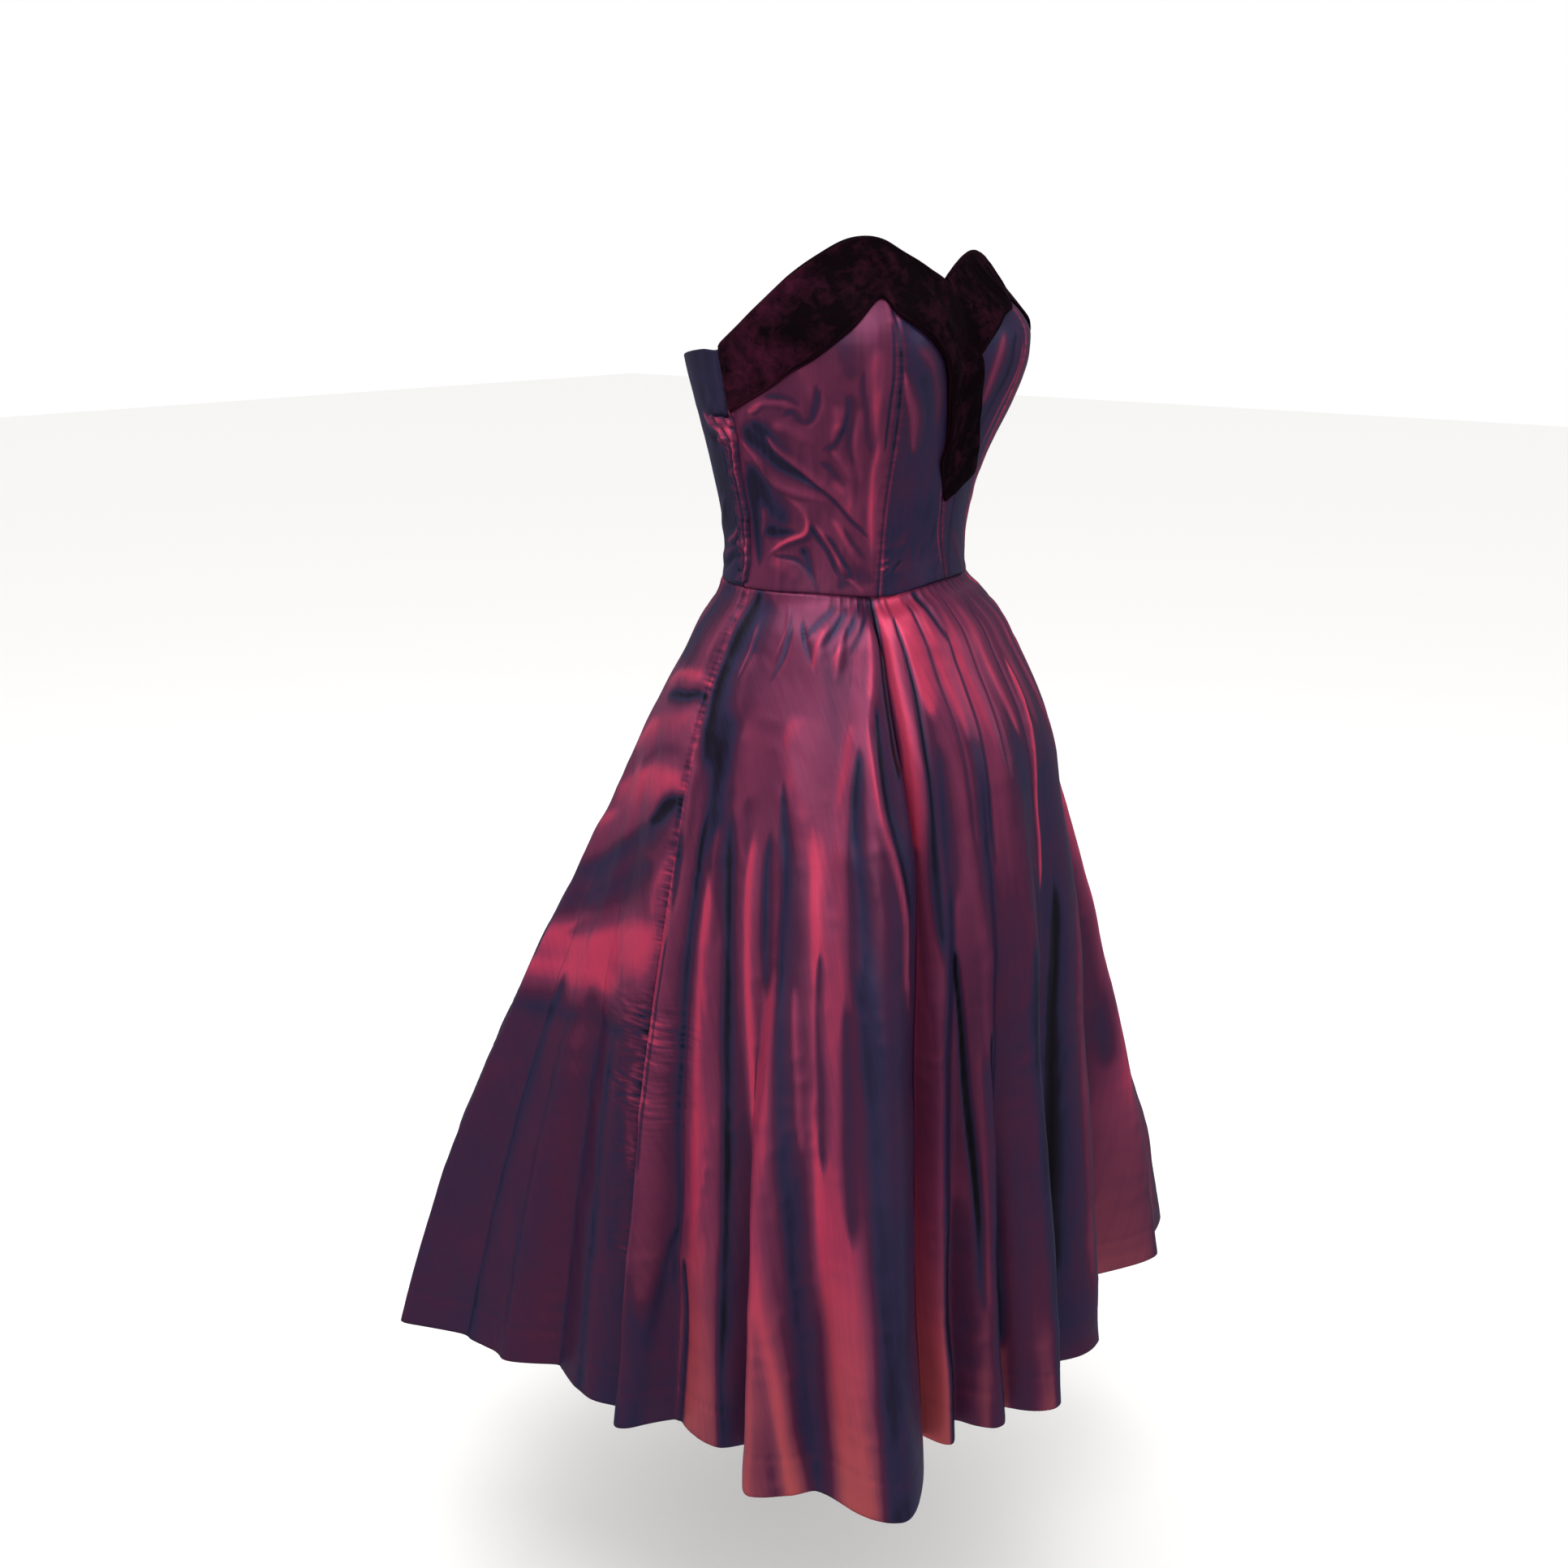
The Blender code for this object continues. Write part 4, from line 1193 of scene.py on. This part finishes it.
def band_profile(across, wrap, thickness):
    """Share of the band's width, and the distance from the cloth, this far along the section.

    wrap says how far the row turns over the top edge.
    """
    way, down, down_turned, off, off_turned = np.array(BAND_PROFILE).T
    k = np.clip(np.searchsorted(way, across, side="right") - 1, 0, len(way) - 2)
    t = (across - way[k]) / (way[k + 1] - way[k])
    t = ease(t) * 0.5 + 0.5 * t

    def between(plain, turned):
        return (plain[k] + turned[k] * wrap) * (1 - t) + (plain[k + 1] + turned[k + 1] * wrap) * t

    return between(down, down_turned), between(off * thickness, off_turned)


def band_shape(rows, folds, seed):
    """Shape of a velvet band from its table and its own soft folds."""
    thickness = bpy.context.scene.dress_sizes.velvet_thickness

    def shape(across, up):
        upper_a, upper_h, lower_a, lower_h, lift, wrap = rows_at(rows, across * (len(rows) - 1))
        fraction, offset = band_profile(1 - up, np.clip(wrap, 0, 1), thickness)
        angle = upper_a + (lower_a - upper_a) * fraction
        height = upper_h + (lower_h - upper_h) * fraction
        outside = ease(offset / thickness)
        relief, _, _ = creases(folds, np.full_like(angle, BODICE_REACH), angle, height)
        x = np.radians(angle) * BODICE_REACH
        relief += 0.00055 * soft_noise(x / 0.012, height / 0.012, seed)
        relief += 0.0009 * soft_noise(x / 0.035, height / 0.03, seed + 1)
        # Stitches draw the lower edge in, and the pile is most crushed towards the side seam.
        relief -= 0.0008 * bell(fraction - 0.935, 0.016)
        crushed = 0.25 + 0.75 * ease((-angle - 55) / 25)
        middle, normal = frame_at(bodice_radius, angle, height)
        points = middle + normal * (offset + (lift + relief) * outside)[:, None]
        return points, np.stack([x, height + 0.2 * (1 - outside)], 1), crushed, 0.0

    return shape


class DRESS_OT_velvet_bands(bpy.types.Operator):
    """Make the two turned-over velvet bands, the right one with its long pointed tab"""
    bl_idname = "dress.velvet_bands"
    bl_label = "Velvet bands"

    def execute(self, context):
        # Name, table, folds, columns of the grid and length of the flat band
        bands = (
            ("velvet_band_right", BAND_RIGHT, VELVET_RIGHT_CREASES, 260, 0.38),
            ("velvet_band_left", BAND_LEFT, VELVET_LEFT_CREASES, 150, 0.24),
        )
        for seed, (name, rows, folds, columns, length) in enumerate(bands):
            shape = band_shape(rows, folds, 20 + seed)
            obj = grid_piece("crushed_" + name, columns, 60, shape, crushed_velvet_wine)
            finish_piece(obj, name)
        return {"FINISHED"}


def lap_shape(across, up):
    """Lap of the side opening: a narrow flat strip whose front edge stands up in a knotted ridge."""
    back, front, height = rows_at(LAP, (1 - up) * (len(LAP) - 1))
    flat = 0 * height
    wander = 0.9 * soft_noise(height / 0.028, flat, 51) + 0.4 * soft_noise(height / 0.009, flat, 52)
    angle = back + (front + wander - back) * across
    ridge = LAP_RIDGE * bell(across - 0.84, 0.10) * (0.75 + 0.4 * soft_noise(height / 0.016, flat, 53))
    second = LAP_SECOND_RIDGE * bell(across - 0.50, 0.08) * ease((height - 0.02) / 0.05)
    # The strip is bunched up at its top and once more near the waist.
    bunched = ease((height - 0.138) / 0.018) + 0.7 * bell(height - 0.052, 0.007)
    slant = across * 2.3 + (height - 0.05) * 62 + 0.25 * soft_noise(across * 3, height / 0.01, 55)
    bunch = LAP_BUNCH * bunched * np.abs(np.sin(np.pi * slant)) ** 1.4
    pulls = 0.0007 * soft_noise(height / 0.0055, across * 2, 54)
    edge = ease(np.minimum(across, 1 - across) * 12)
    offset = 0.0003 + (0.0012 + ridge * (1 - 0.6 * np.clip(bunched, 0, 1)) + second + bunch + pulls) * edge
    middle, smooth = frame_at(bodice_radius, angle, height)
    # Ridges and bunched cloth get painted highlights over the navy of the strip.
    paint = 0.30 + 0.70 * ridge / LAP_RIDGE + 0.36 * second / LAP_SECOND_RIDGE + 0.50 * bunch / LAP_BUNCH
    shot = shot_share_with_painted_light(0.40, 0.6, smooth, smooth, 0.85 * np.clip(paint, 0, 1), 0.9, fine=0.16)
    lengths = np.stack([np.radians(angle) * BODICE_REACH, height], 1)
    return middle + smooth * offset[:, None], lengths, shot, 0.5 * edge


class DRESS_OT_placket(bpy.types.Operator):
    """Make the lap that covers the side opening"""
    bl_idname = "dress.placket"
    bl_label = "Side placket"

    def execute(self, context):
        obj = grid_piece("taffeta_side_placket_lap", 40, 220, lap_shape, shot_taffeta_calendered)
        finish_piece(obj, "side_placket_lap")
        return {"FINISHED"}


class DRESS_OT_stage(bpy.types.Operator):
    """Set the pale floor, the soft lights and the camera"""
    bl_idname = "dress.stage"
    bl_label = "Stage"

    def execute(self, context):
        scene = context.scene
        sizes = scene.dress_sizes
        away = Vector((math.sin(sizes.camera_azimuth), -math.cos(sizes.camera_azimuth), 0.0))
        data = bpy.data.cameras.new("camera")
        data.sensor_width, data.lens, data.clip_end = 36.0, sizes.camera_lens, 100.0
        camera = bpy.data.objects.new("camera", data)
        scene.collection.objects.link(camera)
        camera.location = away * sizes.camera_distance + Vector((0, 0, sizes.camera_height))
        aside = math.atan(ASIDE_PIXELS / FOCAL_PIXELS)
        look = Matrix.Rotation(aside, 3, "Z") @ -away
        look = look * math.cos(sizes.camera_pitch) - Vector((0, 0, math.sin(sizes.camera_pitch)))
        camera.rotation_euler = look.to_track_quat("-Z", "Y").to_euler()
        scene.camera = camera

        bm = bmesh.new()
        bmesh.ops.create_grid(bm, x_segments=1, y_segments=1, size=15.0)
        bmesh.ops.translate(bm, vec=(0, 0, -sizes.floor_drop), verts=bm.verts)
        mesh = bpy.data.meshes.new("floor")
        bm.to_mesh(mesh)
        bm.free()
        mesh.materials.append(material_of(seamless_paper_matt))
        floor = bpy.data.objects.new("floor", mesh)
        scene.collection.objects.link(floor)
        floor.visible_glossy = False

        # Name, azimuth and elevation, distance, width, height and brightness of each softbox
        for light in (
            ("behind_camera", -58.0, 30.0, 3.2, 2.4, 1.8, 1.15),
            ("overhead", -80.0, 74.0, 2.6, 2.6, 2.0, 2.2),
            ("right", 38.0, 24.0, 3.2, 0.5, 1.8, 1.8),
            ("left", -150.0, 28.0, 3.2, 0.8, 1.8, 1.0),
            ("far_side", 125.0, 34.0, 3.4, 1.8, 1.6, 1.3),
        ):
            self.soft_light(scene, *light)

        world = bpy.data.worlds.new("studio")
        scene.world = world
        world.use_nodes = True
        tree = world.node_tree
        tree.nodes.clear()
        # The room is white for the floor and for the matt share of the cloth, and dim in its gloss.
        path = node(tree, "LightPath")
        white = node(tree, "Background", Strength=1.0, Color=hexa("#FFFFFF"))
        dim = node(tree, "Background", Strength=0.22, Color=hexa("#D8D8F0"))
        mix = node(tree, "MixShader", {0: path.outputs["Is Glossy Ray"], 1: white, 2: dim})
        node(tree, "OutputWorld", {"Surface": mix})
        scene.view_settings.view_transform = "Standard"
        return {"FINISHED"}

    @staticmethod
    def soft_light(scene, name, azimuth, elevation, distance, width, height, brightness):
        """Softbox at this azimuth and elevation, turned to the middle of the dress."""
        middle = Vector((0, 0, -0.25))
        azimuth, elevation = math.radians(azimuth), math.radians(elevation)
        data = bpy.data.lights.new(name, "AREA")
        data.shape, data.size, data.size_y = "RECTANGLE", width, height
        data.energy = brightness * math.pi * width * height
        light = bpy.data.objects.new(name, data)
        scene.collection.objects.link(light)
        level = math.cos(elevation)
        side = Vector((math.sin(azimuth) * level, -math.cos(azimuth) * level, math.sin(elevation)))
        light.location = middle + side * distance
        light.rotation_euler = (-side).to_track_quat("-Z", "Y").to_euler()


class DRESS_PT_panel(bpy.types.Panel):
    """Lists the steps of the dress"""
    bl_idname = "DRESS_PT_panel"
    bl_label = "Cocktail dress"
    bl_space_type = "VIEW_3D"
    bl_region_type = "UI"
    bl_category = "Dress"

    def draw(self, context):
        for group in (context.scene.dress_sizes, context.scene.dress_colours):
            for name in group.__annotations__:
                self.layout.prop(group, name)
        for step in STEPS:
            self.layout.operator(step.bl_idname)


STEPS = (DRESS_OT_stage, DRESS_OT_bodice, DRESS_OT_velvet_bands, DRESS_OT_placket, DRESS_OT_skirt)
CLASSES = (DressSizes, DressColours, *STEPS, DRESS_PT_panel)


def register():
    for made in CLASSES:
        bpy.utils.register_class(made)
    bpy.types.Scene.dress_sizes = PointerProperty(type=DressSizes)
    bpy.types.Scene.dress_colours = PointerProperty(type=DressColours)


def unregister():
    del bpy.types.Scene.dress_colours
    del bpy.types.Scene.dress_sizes
    for made in reversed(CLASSES):
        bpy.utils.unregister_class(made)


def main():
    register()
    bpy.ops.dress.stage()
    bpy.ops.dress.bodice()
    bpy.ops.dress.velvet_bands()
    bpy.ops.dress.placket()
    bpy.ops.dress.skirt()


if __name__ == "__main__":
    main()
